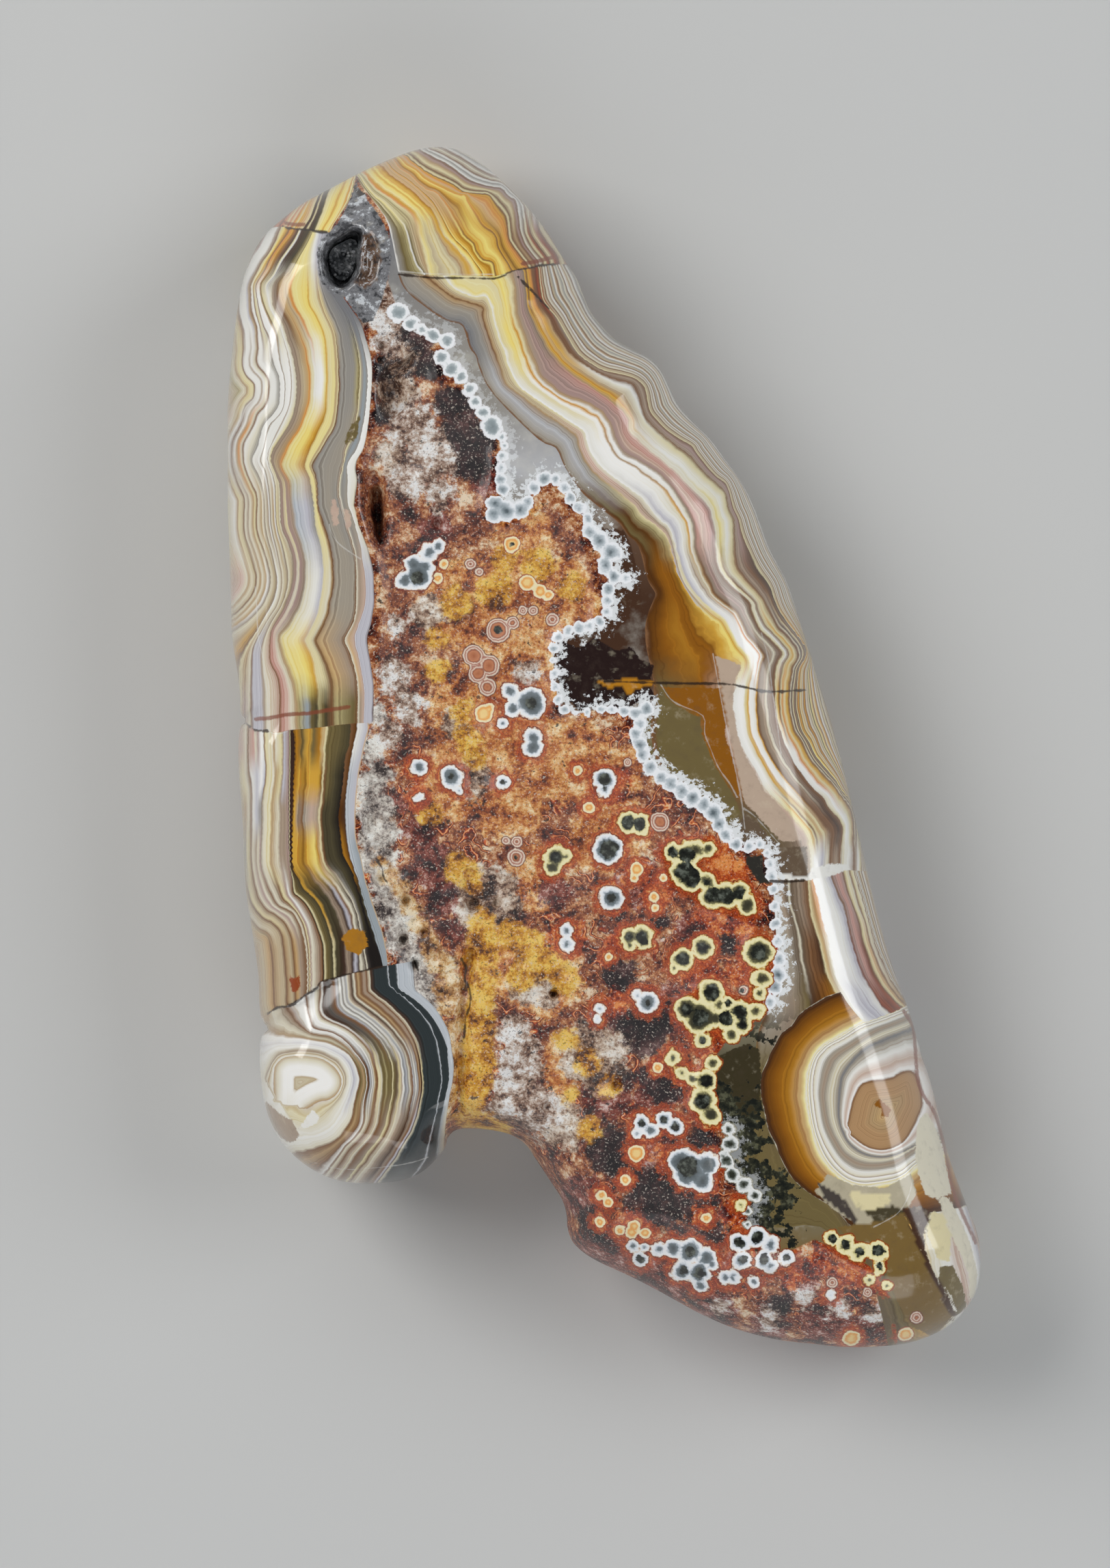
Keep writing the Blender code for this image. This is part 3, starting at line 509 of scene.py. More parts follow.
# %% Points of the face and of the underside
FACE_NET, FACE_CELL = 0.288, 0.17
BASE_NET, BASE_CELL = 0.80, 0.16
EYE_RINGS = ((0.0, 1), (0.5, 6), (0.85, 10), (1.12, 12))
FACE_ANGLES = (5, 9, 13, 17.5, 22.5, 28)
BASE_ANGLES = (8, 16, 26, 38, 52, 68, 88)
reach_now = rim_reach(outline)
net = staggered_net(FACE_NET)
edge_gap = path_distance(net, outline, True)
net = net[edge_gap > 0.117 * rim_reach(net) + 0.12]
eyes = []
for group in EYES.values():
    for x, y, radius in group:
        for share, count in EYE_RINGS:
            turn = np.arange(count) * 2.0 * math.pi / count
            eyes.append(np.stack([x + share * radius * np.cos(turn),
                                  y + share * radius * np.sin(turn)], axis=1))
eyes = np.vstack([crack_points] + eyes)
eyes = eyes[inside_loop(eyes, outline)]
eyes = eyes[path_distance(eyes, outline, True) > 0.14 * rim_reach(eyes) + 0.2]
rings = inward_rings(reach_now, FACE_ANGLES)
inner = one_per_cell(np.vstack([eyes, net]), FACE_CELL)
top_flat = np.vstack([outline] + rings + [inner])
lower_rings = [one_per_cell(ring, BASE_CELL)
               for ring in inward_rings(np.full(len(outline), BASE_ROUND), BASE_ANGLES)]
net = staggered_net(BASE_NET)
net = net[path_distance(net, outline, True) > BASE_ROUND * 1.04]
base_flat = np.vstack([outline] + lower_rings + [net])
print("face points", len(top_flat), "underside points", len(base_flat))

# %% [markdown]
# ## The stone as one closed mesh
# Two sheets share the outline: the polished face and the ground underside. In the core the
# face gets a finer roughness than the solid has, only ever downward, so the stone never
# grows past its solid. The chalcedony keeps its mirror polish.

# %% Build the stone's mesh
TOP_CLEARANCE = 0.002


def rough_core(points):
    """Fine pits and grains of the jasper, which the polish left open."""
    core = ease(depth_in(points, CORE) / 0.8 + 0.15)
    porous = np.zeros(len(points))
    for x, y, radius in ROUGH_GROUND:
        gap = np.hypot(points[:, 0] - x, points[:, 1] - y)
        porous = np.maximum(porous, ease(1.6 - gap / radius))
    pits = (ease((grain(points, 0.75, 3) - 0.62) / 0.3) * 0.7
            + ease((grain(points, 1.7, 8) - 0.6) / 0.35))
    fine = grain(points, 0.6, 5) * 0.05
    for group in EYES.values():
        for x, y, radius in group:
            porous *= ease(np.hypot(points[:, 0] - x, points[:, 1] - y) / radius - 0.6)
    return -core * (fine + (0.03 + 0.55 * porous) * pits)


def triangles_over(points):
    """Triangles that fill the outline and use all the points, facing up."""
    count = len(outline)
    edges = [(k, (k + 1) % count) for k in range(count)]
    result = delaunay_2d_cdt([Vector(p) for p in points], edges, [], 1, 1e-6)
    flat = np.array([tuple(v) for v in result[0]])
    faces = np.array([tuple(f) for f in result[2]])
    first = flat[faces[:, 1]] - flat[faces[:, 0]]
    second = flat[faces[:, 2]] - flat[faces[:, 0]]
    turned = first[:, 0] * second[:, 1] - first[:, 1] * second[:, 0] < 0
    faces[turned] = faces[turned][:, [0, 2, 1]]
    return flat, faces


top_flat, top_faces = triangles_over(top_flat)
base_flat, base_faces = triangles_over(base_flat)
top_z = face_height(top_flat) + rough_core(top_flat) * quarter_round(
    path_distance(top_flat, outline, True) / rim_reach(top_flat))
top_z = np.maximum(top_z, BELT_HEIGHT)
base_z = base_height(base_flat)
shared = len(outline)
vertices = np.vstack([np.column_stack([top_flat, top_z]),
                      np.column_stack([base_flat, base_z])[shared:]])
lower_index = np.concatenate([np.arange(shared),
                              len(top_flat) + np.arange(len(base_flat) - shared)])
faces = np.vstack([top_faces, lower_index[base_faces][:, [0, 2, 1]]])
vertices[:, 2] = np.clip(vertices[:, 2], 0.0, stone_high[2] - TOP_CLEARANCE)
stone_mesh = bpy.data.meshes.new("polished_stone")
stone_mesh.vertices.add(len(vertices))
stone_mesh.vertices.foreach_set("co", (vertices * MM).ravel())
stone_mesh.loops.add(len(faces) * 3)
stone_mesh.loops.foreach_set("vertex_index", faces.ravel().astype(np.int32))
stone_mesh.polygons.add(len(faces))
stone_mesh.polygons.foreach_set("loop_start", np.arange(0, len(faces) * 3, 3, dtype=np.int32))
stone_mesh.update(calc_edges=True)
stone_mesh.validate()
stone_mesh.shade_smooth()
stone = bpy.data.objects.new("polished_stone", stone_mesh)
bpy.context.scene.collection.objects.link(stone)
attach(stone, "root")
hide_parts("agate")
print("stone triangles", len(faces))

# %% [markdown]
# ## Growth lines of the chalcedony
# Agate grows inward band after band, so every colour border runs nearly parallel to the
# last one. A few traced growth lines are enough: each point of the stone gets a number that
# says how many lines it lies past, and how far it is on the way to the next. Outside the
# first line and beyond the last the number goes on in millimetres. Colours can then be laid
# along that one number. A noise texture alone would give bands, but not these bands.

# %% From growth lines to a band number
def band_number(reach):
    """How many growth lines each point lies past, with the share of the way to the next."""
    every = np.arange(reach.shape[1])
    past = np.vstack([reach > 0, np.zeros(len(every), bool)])
    count = np.argmin(past, axis=0)
    before = reach[np.maximum(count - 1, 0), every]
    after = reach[np.minimum(count, len(reach) - 1), every]
    between = count - 1 + before / np.maximum(before - after, 1e-6)
    number = np.where(count == 0, reach[0], between)
    return np.where(count == len(reach), len(reach) - 1 + before, number)


def above(points, line):
    """Distance above a line that runs from left to right, negative below it."""
    level = np.interp(points[:, 0], line[:, 0], line[:, 1])
    return np.sign(points[:, 1] - level) * path_distance(points, line, False)


print("band numbers past none, one and two lines",
      band_number(np.array([[-0.4, 1.0, 2.0], [-1.0, -1.0, 0.5]])))

# %% [markdown]
# ## Left flank
# Two families of bands run down the left side, above and below a crack that crosses it at a
# third of the height. The upper family bulges round three half eyes on the edge. Lines are
# listed from the outer edge to the core, each from top to bottom.

# %% Lines of the left flank
LEFT_UPPER = growth_lines("""
-29.3,47 -.8,-2 -.75,-1 -.55,-1 -.57,-1 -.03,-1 .05,-1 .2,-1 .35,-1 .05,-1 .1,-1 -.1,-1.3 .75,-.9
.35,-.8 -.05,-1.5 -.4,-.9 -.6,-.6 -.35,-1 -.65,-1.1 -.3,-.6 0,-1.3 .3,-1 .4,-1 .5,-1 .1,-1
-.05,-1.7 .15,-1.1 .6,-1.7 .45,-1.5 .05,-1 -.15,-1 -.45,-1 -.6,-.8 -.9,-.9 -1.3,-.8 -2.5,-1.5;
-28.55,46.6 -.9,-1.2 -.75,-1.1 -.5,-1.1 -.65,-1 -.2,-.6 .15,-1.2 .25,-1.2 .35,-1.2 .52,-1 .34,-2
.34,-1 .3,-1 -.07,-2 -.63,-1 -.8,-1 -.3,-1 -.3,-1 -.47,-1 .37,-1 .5,-1 .3,-2 .1,-2 .3,-1.5 .3,-1
.3,-1.5 .15,-1 -.1,-1 -.3,-1 -.55,-1 -.8,-1.4 -1.1,-1.6 -.8,-2 -.2,-5;
-28.2,46.6 -.9,-1.2 -.7,-1.1 -.5,-1 -.6,-.9 -.3,-.5 .1,-1.3 .43,-1.1 .67,-1.5 .4,-1 .2,-2 .5,-2
-.07,-2 -.43,-1 -.95,-1 -.45,-2 -.3,-1.15 .4,-.85 .25,-1 .25,-2 .1,-2 .55,-2.5 .4,-2.5 -.35,-2
-.6,-1 -.65,-1 -1.05,-2 -.2,-2 0,-5.5;
-27.6,46.7 -.5,-1 -.6,-.9 -.7,-1 -.5,-1.1 -.6,-.7 -.17,-.4 .07,-.6 .3,-1.2 .35,-.7 .35,-.6
.55,-1.5 .55,-2 .2,-2 -.15,-2 -.85,-2 -.9,-2 -.17,-1.2 .57,-1.8 .1,-2 .1,-2 .62,-2.5 .38,-2.5
-.45,-2 -.55,-1 -.6,-1 -.8,-2 .1,-3 .2,-4.5;
-26.7,46.6 -.3,-.6 -.5,-1 -.7,-1 -.5,-.9 -.8,-.7 -.4,-.6 -.1,-1.8 .97,-2 .28,-1 .65,-2 .25,-2
-.05,-2 -.65,-2 -1.42,-2 -.23,-1 .05,-.5 .7,-1.5 .15,-2 .05,-2 .95,-2.5 .1,-2.5 -.65,-2 -1.05,-2
-.3,-1 -.1,-1.3 .1,-1.1 .8,-1.6 .05,-1.5 .05,-3;
-26.45,46.5 -.55,-1.1 -.5,-.75 -.7,-1.35 -.9,-1.1 -.1,-1 .4,-1.2 1.1,-2 .45,-1 .3,-1 .2,-1 .15,-1
.1,-1.5 -.15,-1.5 -.35,-1 -.3,-1 -.6,-1 -.6,-1 -.5,-1 -.15,-.5 .15,-.5 .55,-1 .1,-2 .3,-2
.85,-2.5 .1,-2.5 -.4,-2 -.5,-1 -.6,-1 -.8,-1 .1,-1 .3,-1 .7,-2 .4,-1.5 .1,-3;
-26.3,46.3 -.35,-1.3 -.1,-1 0,-3 .15,-1 .6,-1 .4,-1 .3,-1 .15,-1 .1,-2 -.1,-3 -.15,-1 -.35,-1
-.45,-1 -.55,-1 -.3,-1 -.1,-.65 .3,-.85 .15,-.5 .35,-2 .1,-2 .6,-2.5 .05,-2.5 -.3,-2 -.2,-1
-.4,-1 -.5,-1 -.15,-.5 .7,-1.5 .35,-2 .1,-1.5 0,-3;
-25.7,46.5 -.2,-1.1 -.1,-1.4 .2,-2 .4,-2 .8,-2 .3,-1 .3,-2 .05,-2 -.1,-2 -.3,-2 -1.15,-2 -.7,-1
-.3,-.7 .5,-1.3 .05,-2 .25,-1 .35,-1 .35,-1 .35,-1.5 .15,-1.5 .03,-1 -.08,-1 -.25,-1 -.2,-1
-.35,-1 -.55,-1 -.15,-.4 .25,-.6 .5,-1 .4,-1 .3,-1 .15,-1.5 .05,-3;
-25.6,43.2 .6,-1.6 .7,-1 1,-1.6 .7,-2 .4,-2 0,-2 -.1,-2 -.3,-2 -.3,-1 -.5,-1 -.2,-1.6 -.4,-1.4
.05,-1.4 .65,-2.6 .75,-2.5 .1,-2.5 0,-2 -.05,-1 -.25,-1 -.65,-1 -.08,-.5 .63,-1.5 .5,-2 .05,-1.5
0,-3;
-24.3,41 .7,-.8 .7,-1 .6,-1.2 .3,-1 .5,-2 .15,-2 -.15,-2 -.3,-2 -.5,-2 -.7,-1 -.3,-.6 .1,-1.4
0,-2 .4,-1 .3,-1 .5,-2 .1,-1 .3,-2 0,-2 -.65,-2 -.35,-1 .1,-1 .3,-1 .35,-2 .15,-1.5 -.1,-3;
-23.6,40.6 .7,-1 .7,-1 .3,-.6 .3,-1 .56,-2 .04,-2 -.15,-2 -.2,-2 -.4,-2 -.55,-1 -.15,-.8 .15,-1.2
-.3,-2 .05,-.3 .35,-1.7 .8,-2 .5,-2 .05,-1 .05,-2 -.3,-2 -.3,-1 .05,-1 .15,-1 .3,-2 .05,-1.5
-.05,-3
""")
LEFT_LOWER = growth_lines("""
-32.3,1.5 0,-1.5 .1,-2.5 .3,-2 0,-3 -.05,-2 .05,-1 .2,-1.5 .35,-1.3 .3,-.7 .65,-.8 .5,-.2 .6,-.4
.6,-.6 .4,-.9 .2,-1.1 .2,-2 .1,-3;
-30.75,1.5 0,-1.5 .15,-2.5 -.4,-2.5 0,-2.5 -.15,-2.9 .5,-1.6 .6,-1.3 .65,-1 .6,-.3 .6,-.3 .3,-.3
.4,-.8 .3,-1 .3,-1.5 .1,-1.5 0,-3;
-29.05,1.5 0,-1.5 -.05,-2.5 -.25,-2.5 .05,-2.5 -.1,-2.5 .5,-2 .25,-1.3 .45,-.7 .65,-1 .55,-1
.3,-1.5 .1,-1 0,-1.5 0,-3;
-28.45,1.5 -.02,-1.5 .02,-5 .05,-5 .2,-2 .1,-1.2 .6,-.5 .6,-.7 .5,-.8 .45,-1.2 .35,-1 .2,-.8
.05,-1.8 -.15,-2;
-28.15,1.5 .15,-1.5 -.1,-2.5 -.1,-2.5 -.1,-2.5 0,-2.5 .1,-1 .65,-1 .15,-.45 .5,-.6 .7,-.65 .6,-.8
.45,-1 .3,-.9 .2,-.9 .15,-.9 .05,-1.2 .05,-1.3 0,-1.3;
-25.1,1.5 -.15,-1.5 -.11,-2.5 -.19,-2.5 -.2,-1 .05,-1.5 .25,-2.5 .4,-.95 .7,-.8 .6,-.8 .8,-1.15
.4,-1.05 .4,-1.15 .45,-2.9 .15,-1.2 .15,-2;
-22.95,1.5 -.1,-1.5 -.4,-.9 -.08,-1.6 -.32,-2.5 -.2,-1.2 .15,-1.3 .15,-1.5 .25,-1 .6,-.9 .5,-1.5
.4,-1.4 .4,-1.6 .6,-2.4 .5,-2.2 .3,-2;
-22.35,1.5 -.4,-1.5 -.4,-2.5 -.25,-2.5 .05,-2.5 .2,-1.5 .3,-1.5 .55,-1.5 .3,-1.3 .5,-1.7 .8,-2.5
.5,-1.5 .25,-1 .65,-2;
-21.3,1.5 -.4,-1.5 -.5,-2.5 -.25,-2.5 -.05,-2.5 .2,-1.5 .3,-1 .4,-2 .4,-1.3 .55,-1.7 .8,-2.5
.35,-2.5 .5,-1 1,-1
""")
print("left flank lines", len(LEFT_UPPER), len(LEFT_LOWER))

# %% [markdown]
# ## The lower left eye
# A complete eye fills the lower left lobe: rings round a white middle, cut off above by a
# step where the eye has dropped below the bands over it. The innermost two lines close on
# themselves, and the others leave through the left edge.

# %% Lines of the lower left eye
EYE_CLOSED = growth_lines("""
-29.9,-32.2 0,2.7 .3,.8 .6,.5 1.1,.2 1.1,0 1.1,-.2 .8,-.4 .7,-.6 .4,-.7 0,-.7 -.3,-.7 -.8,-.6
-.8,-.1 -1.2,-.7;
-31,-30 1.1,1.9 .9,.5 1.4,.2 1.1,0 1,-.2 .8,-.4 .6,-.3 .5,-.7 .3,-.7 0,-.6 -.2,-.7 -.6,-1.2
-1.9,-2.1 -2,.1
""")
EYE_OPEN = growth_lines("""
-31,-26 3.7,-.4 1.3,-.2 1.1,-.2 1.1,-.5 .8,-.6 .6,-1 .3,-1 -.1,-.8 -.4,-1.7 -.1,-.8 -.3,-.8
-.6,-.9 -.8,-.8 -1.1,-.5 -.5,-.2 -2,-.6;
-27.1,-22.9 .4,-1.8 .4,-.9 1.9,-.4 1.4,-1.2 1,-1.3 .4,-.8 .1,-1.4 -.3,-1.5 -.1,-1.6 -.3,-.8
-.6,-.8 -.8,-.7 -.2,-.4 -.8,-1.1;
-25.5,-22.3 -.1,-1.5 .7,-.9 1.3,-.5 1.4,-1 .9,-1 .5,-1.5 .2,-1.4 -.1,-1.3 -.2,-2 -.3,-1 -.5,-.9
-1.2,-1.2 -.7,-1.1;
-24.2,-22 0,-.8 .2,-.8 .7,-.6 .8,-.4 .8,-.5 .8,-.7 .8,-.9 .6,-1.1 .3,-1.2 .1,-2.1 -.2,-1 -.4,-2
-.4,-.8 -.4,-.7 -.9,-1.1 -.6,-.9;
-22.7,-22 0,-.5 .5,-.6 1.6,-1.1 1.6,-1.6 .7,-.8 .5,-1 .3,-1.1 .2,-1.4 0,-1 -.5,-2.6 -.4,-1.1
-.5,-.9 -.6,-.8 -.7,-1.1;
-21.2,-22 1.4,-1.1 1.6,-1.6 .7,-.9 .5,-1 .3,-1 .2,-1.1 .2,-1.9 -.4,-2.2 -.3,-1 -.4,-1 -.5,-.8
-.5,-.9 -.6,-1.1;
-19.4,-21.6 1.6,-1.2 1.8,-1.9 .6,-1.2 .4,-1.2 .2,-1.2 .1,-1.2 0,-1.1 -.4,-2.2 -.5,-2.1 -.6,-2.7;
-18.7,-22 1.3,-.7 1.1,-.9 .9,-1.1 .7,-1.2 .5,-1.2 .1,-1.1 .1,-1.8 -.4,-2 -.5,-2.5 -.3,-3.1;
-17.1,-22 .9,-.7 .8,-.8 .8,-1.2 .6,-1.3 .2,-1.4 .2,-1.3 -.1,-1.4 -.3,-1.6 -.4,-2.8 -.2,-3.1
""")
print("eye lines", len(EYE_CLOSED) + len(EYE_OPEN))

# %% [markdown]
# ## Top and right flank
# Over the crystal pit a fan of golden bands spreads from the apex. A crack cuts it off from
# the long right flank, whose bands run down to the second crack near the quartz window.

# %% Lines of the top
TOP_LEFT = growth_lines("""
-28.9,47.2 .9,1.7 .5,.7;
-28.2,47 .9,1.6 .5,1.3;
-27.2,47 .7,1.3 .55,1.9;
-26.2,46.9 .6,1.6 .5,2.1;
-25.4,46.8 1,1.8 .5,1.4 .5,1.4;
-24.7,46.8 1,1.8 .5,1.4 .4,1.6;
-24.5,47.3 1.1,1.7 .6,1.3 .2,1.6
""")
TOP_FAN = growth_lines("""
-22.5,52 .5,-1.1 1.4,-1.9 1.1,-1.9 .9,-4.3 .3,-1 .4,-.6 1.4,-1.2;
-22.4,52.1 1.4,-2 1.1,-.9 1.6,-1.7 .4,-.9 .8,-2.7 .6,-.8 .3,-.3;
-22,52.3 .8,-1 .8,-.8 2.7,-1.9 .5,-.6 .3,-1 .7,-2.6 .3,-1.6;
-20.3,53.1 .8,-1.1 1.1,-.9 1.3,-1 .8,-.9 .8,-.7 1.1,-2.2 .8,-.8 .6,-.8 .8,-.7 .6,-1.2;
-19.8,53.4 .8,-1.1 1.4,-1 1.7,-1.6 1,-1.5 1.1,-2.1 1.4,-1.4 1,-1.4 .3,-.5;
-19.2,53.5 .7,-1 .9,-.6 .7,-.8 .9,-.7 1,-.4 1.7,-2.6 .5,-1.1 1,-.8 .1,-.6 .6,-.9 1,-.2 .3,-1.2;
-18.8,53.9 .9,-1.1 .8,-.5 .8,-.8 1,-.6 2,-.9 .8,0 .3,-.8 .7,-1.4 .6,-.8 1,-.7 .4,-1.4 1.3,-1.9;
-18.3,54 1.4,-1.3 .9,-.7 2.2,-1.1 1,-.7 1.3,-.1 1,0 .6,-.8 1,-1.2 .2,-1.8 .4,-.9 1.5,-2;
-16.9,54.4 1.2,-.8 1.3,-.7 1.9,-1.4 1,-.4 1.4,-.3 .8,0 .6,-.7 .7,-.5 .2,-1.6 .4,-2.2 .6,-.9
.8,-.9;
-15.7,54.6 1.3,-.6 3.5,-2.1 1.4,-.3 .8,-.5 1.2,-1.3 .5,-.8 .2,-1.9 .4,-1 1.4,-1.9
""")

print("lines at the top", len(TOP_LEFT) + len(TOP_FAN))

# %% [markdown]
# ## The long right flank
# The first line here is the border of the core, and the last lies close to the outer edge.
# Below the second crack the bands run on as a second family, down to the right eye.

# %% Lines of the right flank
RIGHT_UPPER = growth_lines("""
-18.9,44 .5,-2 .9,-1.2 1,-.8 1.5,-1.1 1.1,-.5 1.1,-.4 .6,-1.9 .6,-.8 .3,-1.1 1.3,-2.4 4,-4
1.6,-.8 .8,-1.7 1.4,-2.1 .9,-.9 2.4,-1.9 .6,-.7 .5,-.7 .9,-.9 .8,-3 .7,-1.2 -.1,-.5 -.5,-1.2
-.3,-1.2 0,-1.3 .2,-1.3 .5,-2.3 0,-2.1 -.2,-2.5 .4,-2.5 1,-1.4 1.4,-1.1 1.6,-1.1 1.2,-1.2 1,-1.8
1.2,-1 2,0 1,-1.4 .4,-2.5;
-16.4,43 1.4,-1.4 .8,-.6 1,-.5 2.2,-.7 0,-.8 .3,-1.1 1.6,-4.3 .7,-1.2 5.3,-3.8 .6,-.5 .2,-.9
.4,-.9 .6,-1 .9,-.9 2.9,-2.4 .7,-.9 1.7,-1.3 .9,-1 .7,-2.6 .4,-1.1 .6,-1.1 1.4,-1.8 .9,-.8 .6,-.4
1.2,-2.2 .9,-1.1 -.5,-1.9 -.2,-2 .4,-2.6 .4,-1.1 .4,-.9 .6,-1 1.1,-2.1 1,-.9 1.5,-1.7 1.4,-2
.1,-3.4;
-14.9,43 .6,-.7 .6,-.8 1.1,-.6 1.1,-.3 .9,0 1,-3.4 .5,-1.3 .4,-1.4 .6,-1.2 .8,-1.1 4,-2.7 1,-.6
.5,-.6 .3,-1 .5,-1 .6,-.9 1.1,-.9 2.8,-2.2 1.5,-1.9 .9,-.8 1.1,-4 .8,-1.4 1.4,-1.5 .9,-.8 .8,-.7
1.2,-2.2 1,-1.3 -.4,-1.9 -.2,-2 .3,-2.3 .8,-2.1 .6,-1 1.2,-2 1,-1.1 1.5,-1.7 1.3,-1.9 0,-3.7;
-8.3,42.8 .2,-1.3 .5,-3.3 1.4,-3.8 .6,-1.1 .8,-.8 1.3,-.8 3.3,-1.4 1.6,-3.3 .9,-.7 2.2,-1.3
1.4,-1.2 .7,-1.1 1.4,-2.1 .2,-1.8 .1,-1.2 1.1,-2.5 .4,-1.1 .8,-.8 1,-.6 .5,-.5 .9,-1.8 1.5,-2
-.3,-.8 -.4,-3.2 .1,-2.7 .4,-1.1 .5,-1 1.4,-2.2 3,-3.4 .7,-1 .4,-.8 -.2,-2.7 -.1,-1.4;
-7.2,43 .2,-2 .1,-1.1 .5,-1.3 1.1,-2.2 .8,-1.1 1,-1.1 5.2,-3.9 .5,-1.7 .8,-.9 3.2,-2.7 3.1,-3.2
.4,-.9 .3,-1.6 0,-1.7 .3,-1.5 .6,-1 2.1,-1.9 .3,-1 .6,-1.2 .5,-.7 1.8,-1.7 -.4,-.8 -.3,-1.2
-.1,-2.1 .2,-1.9 .4,-1.4 .3,-1.1 .5,-1 1.4,-2.1 1.6,-1.7 .4,-.7 1.4,-1.8 -.2,-1.9 -.1,-2.9;
-6.4,43.3 .2,-1.9 .5,-1.4 .7,-1 .5,-1.3 .6,-.9 .6,-.9 .4,-.4 1.8,-1.3 2,-.9 1.2,-.3 .7,-.5
.8,-2.4 .7,-.9 1.8,-1.6 1.8,-1.3 .9,-1.2 1.8,-1.6 .5,-.7 .2,-1.1 .5,-1.2 0,-1.3 .1,-1.3 .2,-1.8
2.3,-2.7 1.2,-2.2 .8,-.9 .8,-.9 .3,-.4 .2,-.9 -.5,-.8 -.2,-.9 -.3,-2.4 .5,-2.4 .6,-.9 .6,-1.3
.8,-1.2 1.6,-1.6 1.5,-2 .3,-.9 .1,-.9 -.1,-4.8;
-5.9,43.4 .2,-2.4 .5,-1.1 1,-1.3 1.3,-2.3 .8,-1 1.1,-.8 1.1,-.5 2.3,-.5 1.3,-.9 .4,-2 .7,-1
.9,-.9 .9,-.6 1.4,-.8 .4,-.7 1.6,-1.9 1.1,-.9 .6,-2.1 .5,-1.1 .4,-1.4 1.2,-2.7 1.2,-1.7 .4,-1.2
.6,-1.4 2.2,-2.8 .2,-1.2 -.6,-.9 -.2,-.9 -.2,-2.4 .1,-1.1 .4,-1.4 .7,-1.1 .6,-1.3 1.6,-1.8
.8,-1.2 .7,-.8 .7,-1.1 .3,-1.7 0,-4.5
""")
RIGHT_LOWER = growth_lines("""
15.2,-12 .2,-3 .2,-3 .3,-2 -.3,-2 -.8,-1.8 -.8,-1.7 -.4,-2.5 0,-3 -.2,-3 -1,-2 .2,-3 1.4,-2.5
1.5,-2 4,.1 4.5,-3.6;
16.6,-12 .2,-2.1 .4,-1.5 .3,-1.4 .3,-1.7 .2,-1.4 .2,-1.2 .4,-1.2 .3,-1.5 .3,-2 .8,-8;
18.5,-12 .1,-2.2 .6,-2.4 .5,-1.8 .3,-1.4 .4,-1.3 .6,-1.1 .7,-1.2 .7,-.8 1.1,-1.8 1.5,-8;
18.8,-12 .4,-1.5 .4,-1.8 .4,-1.4 .4,-1.7 .3,-1.7 .6,-1.4 .7,-1.3 .7,-1 .8,-1 1.5,-1.7 3,-7.5;
20.5,-11.5 .6,-1.7 .6,-1 .3,-1.4 .4,-1.7 .4,-1.7 .6,-1.4 .7,-1.3 .8,-1.25 1,-1.15 1.2,-1 1.3,-1.4
1.6,-7.5;
21.6,-11.3 .4,-1.5 .5,-1.5 .6,-1.7 .4,-1.7 .5,-1.6 .5,-1.4 .9,-1.3 1,-1.1 1.4,-1.2 1.2,-2.2
2,-7.5;
22.7,-11.4 .7,-2.1 1.3,-4.4 .7,-1.7 .8,-1.7 1,-1.4 1.3,-1.8 1,-2 2,-7.5
""")

# %% [markdown]
# ## The lower right eye
# A second eye sits in the long right lobe round a brown core, with white rings and a wide
# crescent of amber on its left side. The crescent shades smoothly from dark to pale.

# %% Lines of the lower right eye
EYE_MIDDLE = growth_lines("""
21.9,-34.2 .3,1.4 .4,1.3 .6,1 1,.3 1.7,.25 1,.45 1,.1 .6,-.8 .3,-1.3 0,-1.2 -.4,-.9 -.5,-1
-.55,-.9 -.75,-.6 -1.2,-.4 -1.2,.1 -1,.5 -.9,.7
""")
RIGHT_EYE = growth_lines("""
25.5,-26.4 -2.3,-1.1 -1.5,-1.9 -.4,-1.2 -.1,-1.6 0,-1.4 .4,-1.3 .6,-1 1.3,-.9 1.6,-.3 1.5,.3
1.9,.8;
25,-25.6 -1.2,-.6 -2.8,-1.8 -.6,-1 -.4,-1.2 -.2,-1.5 .2,-1.4 .3,-1.2 .6,-1.3 .8,-1.2 1.4,-.8
1.6,-.1 1.6,.3 1.2,.7 1.5,.9;
24.4,-25.1 -1.2,-.4 -1.6,-1 -1.2,-.6 -.9,-.9 -.4,-1 -.2,-1.5 .1,-1.7 .2,-1.5 .3,-1.2 .6,-1.3
.9,-1.4 1.2,-1 1.3,-.3 1.6,.2 1.5,.3 1,.7 1.6,1.1;
24,-24.8 -1.2,-.4 -1.5,-1 -1.3,-.7 -.9,-.9 -.5,-1.05 -.25,-1.35 0,-1.45 .15,-1.45 .3,-1.5 .4,-1.3
.6,-1.35 .9,-1.15 1.2,-.9 1.3,-.4 1.5,.1 1.5,.3 1.15,.6 .75,.7 1.4,1;
20,-22.6 -2.2,-1.4 -.9,-1.2 -.9,-.7 -.75,-1.3 -.55,-1.2 -.6,-1.5 0,-1.2 .3,-1.7 .4,-1.8 .6,-1.3
.7,-1.65 .8,-1.35 1,-1 1.3,-.9 1.2,-.7 .9,-.8 .9,-1 .9,-.6 3.9,1.4
""")
print("right flank lines", len(RIGHT_UPPER), len(RIGHT_LOWER), "eye", len(RIGHT_EYE))

# %% [markdown]
# ## Cracks, patches and ground colours
# Old cracks shifted the bands and healed. Each family of bands stops crisply at them, so the
# cracks are lines too. Places that follow no band, such as the amber glass beside the core,
# are closed loops called patches, each with one of the stone's colours. The jasper's own
# colours drift softly, so they are only circles, and noise breaks their borders up later.
# The small dark ground circles on the pores and in the groove are painted shade in those holes.

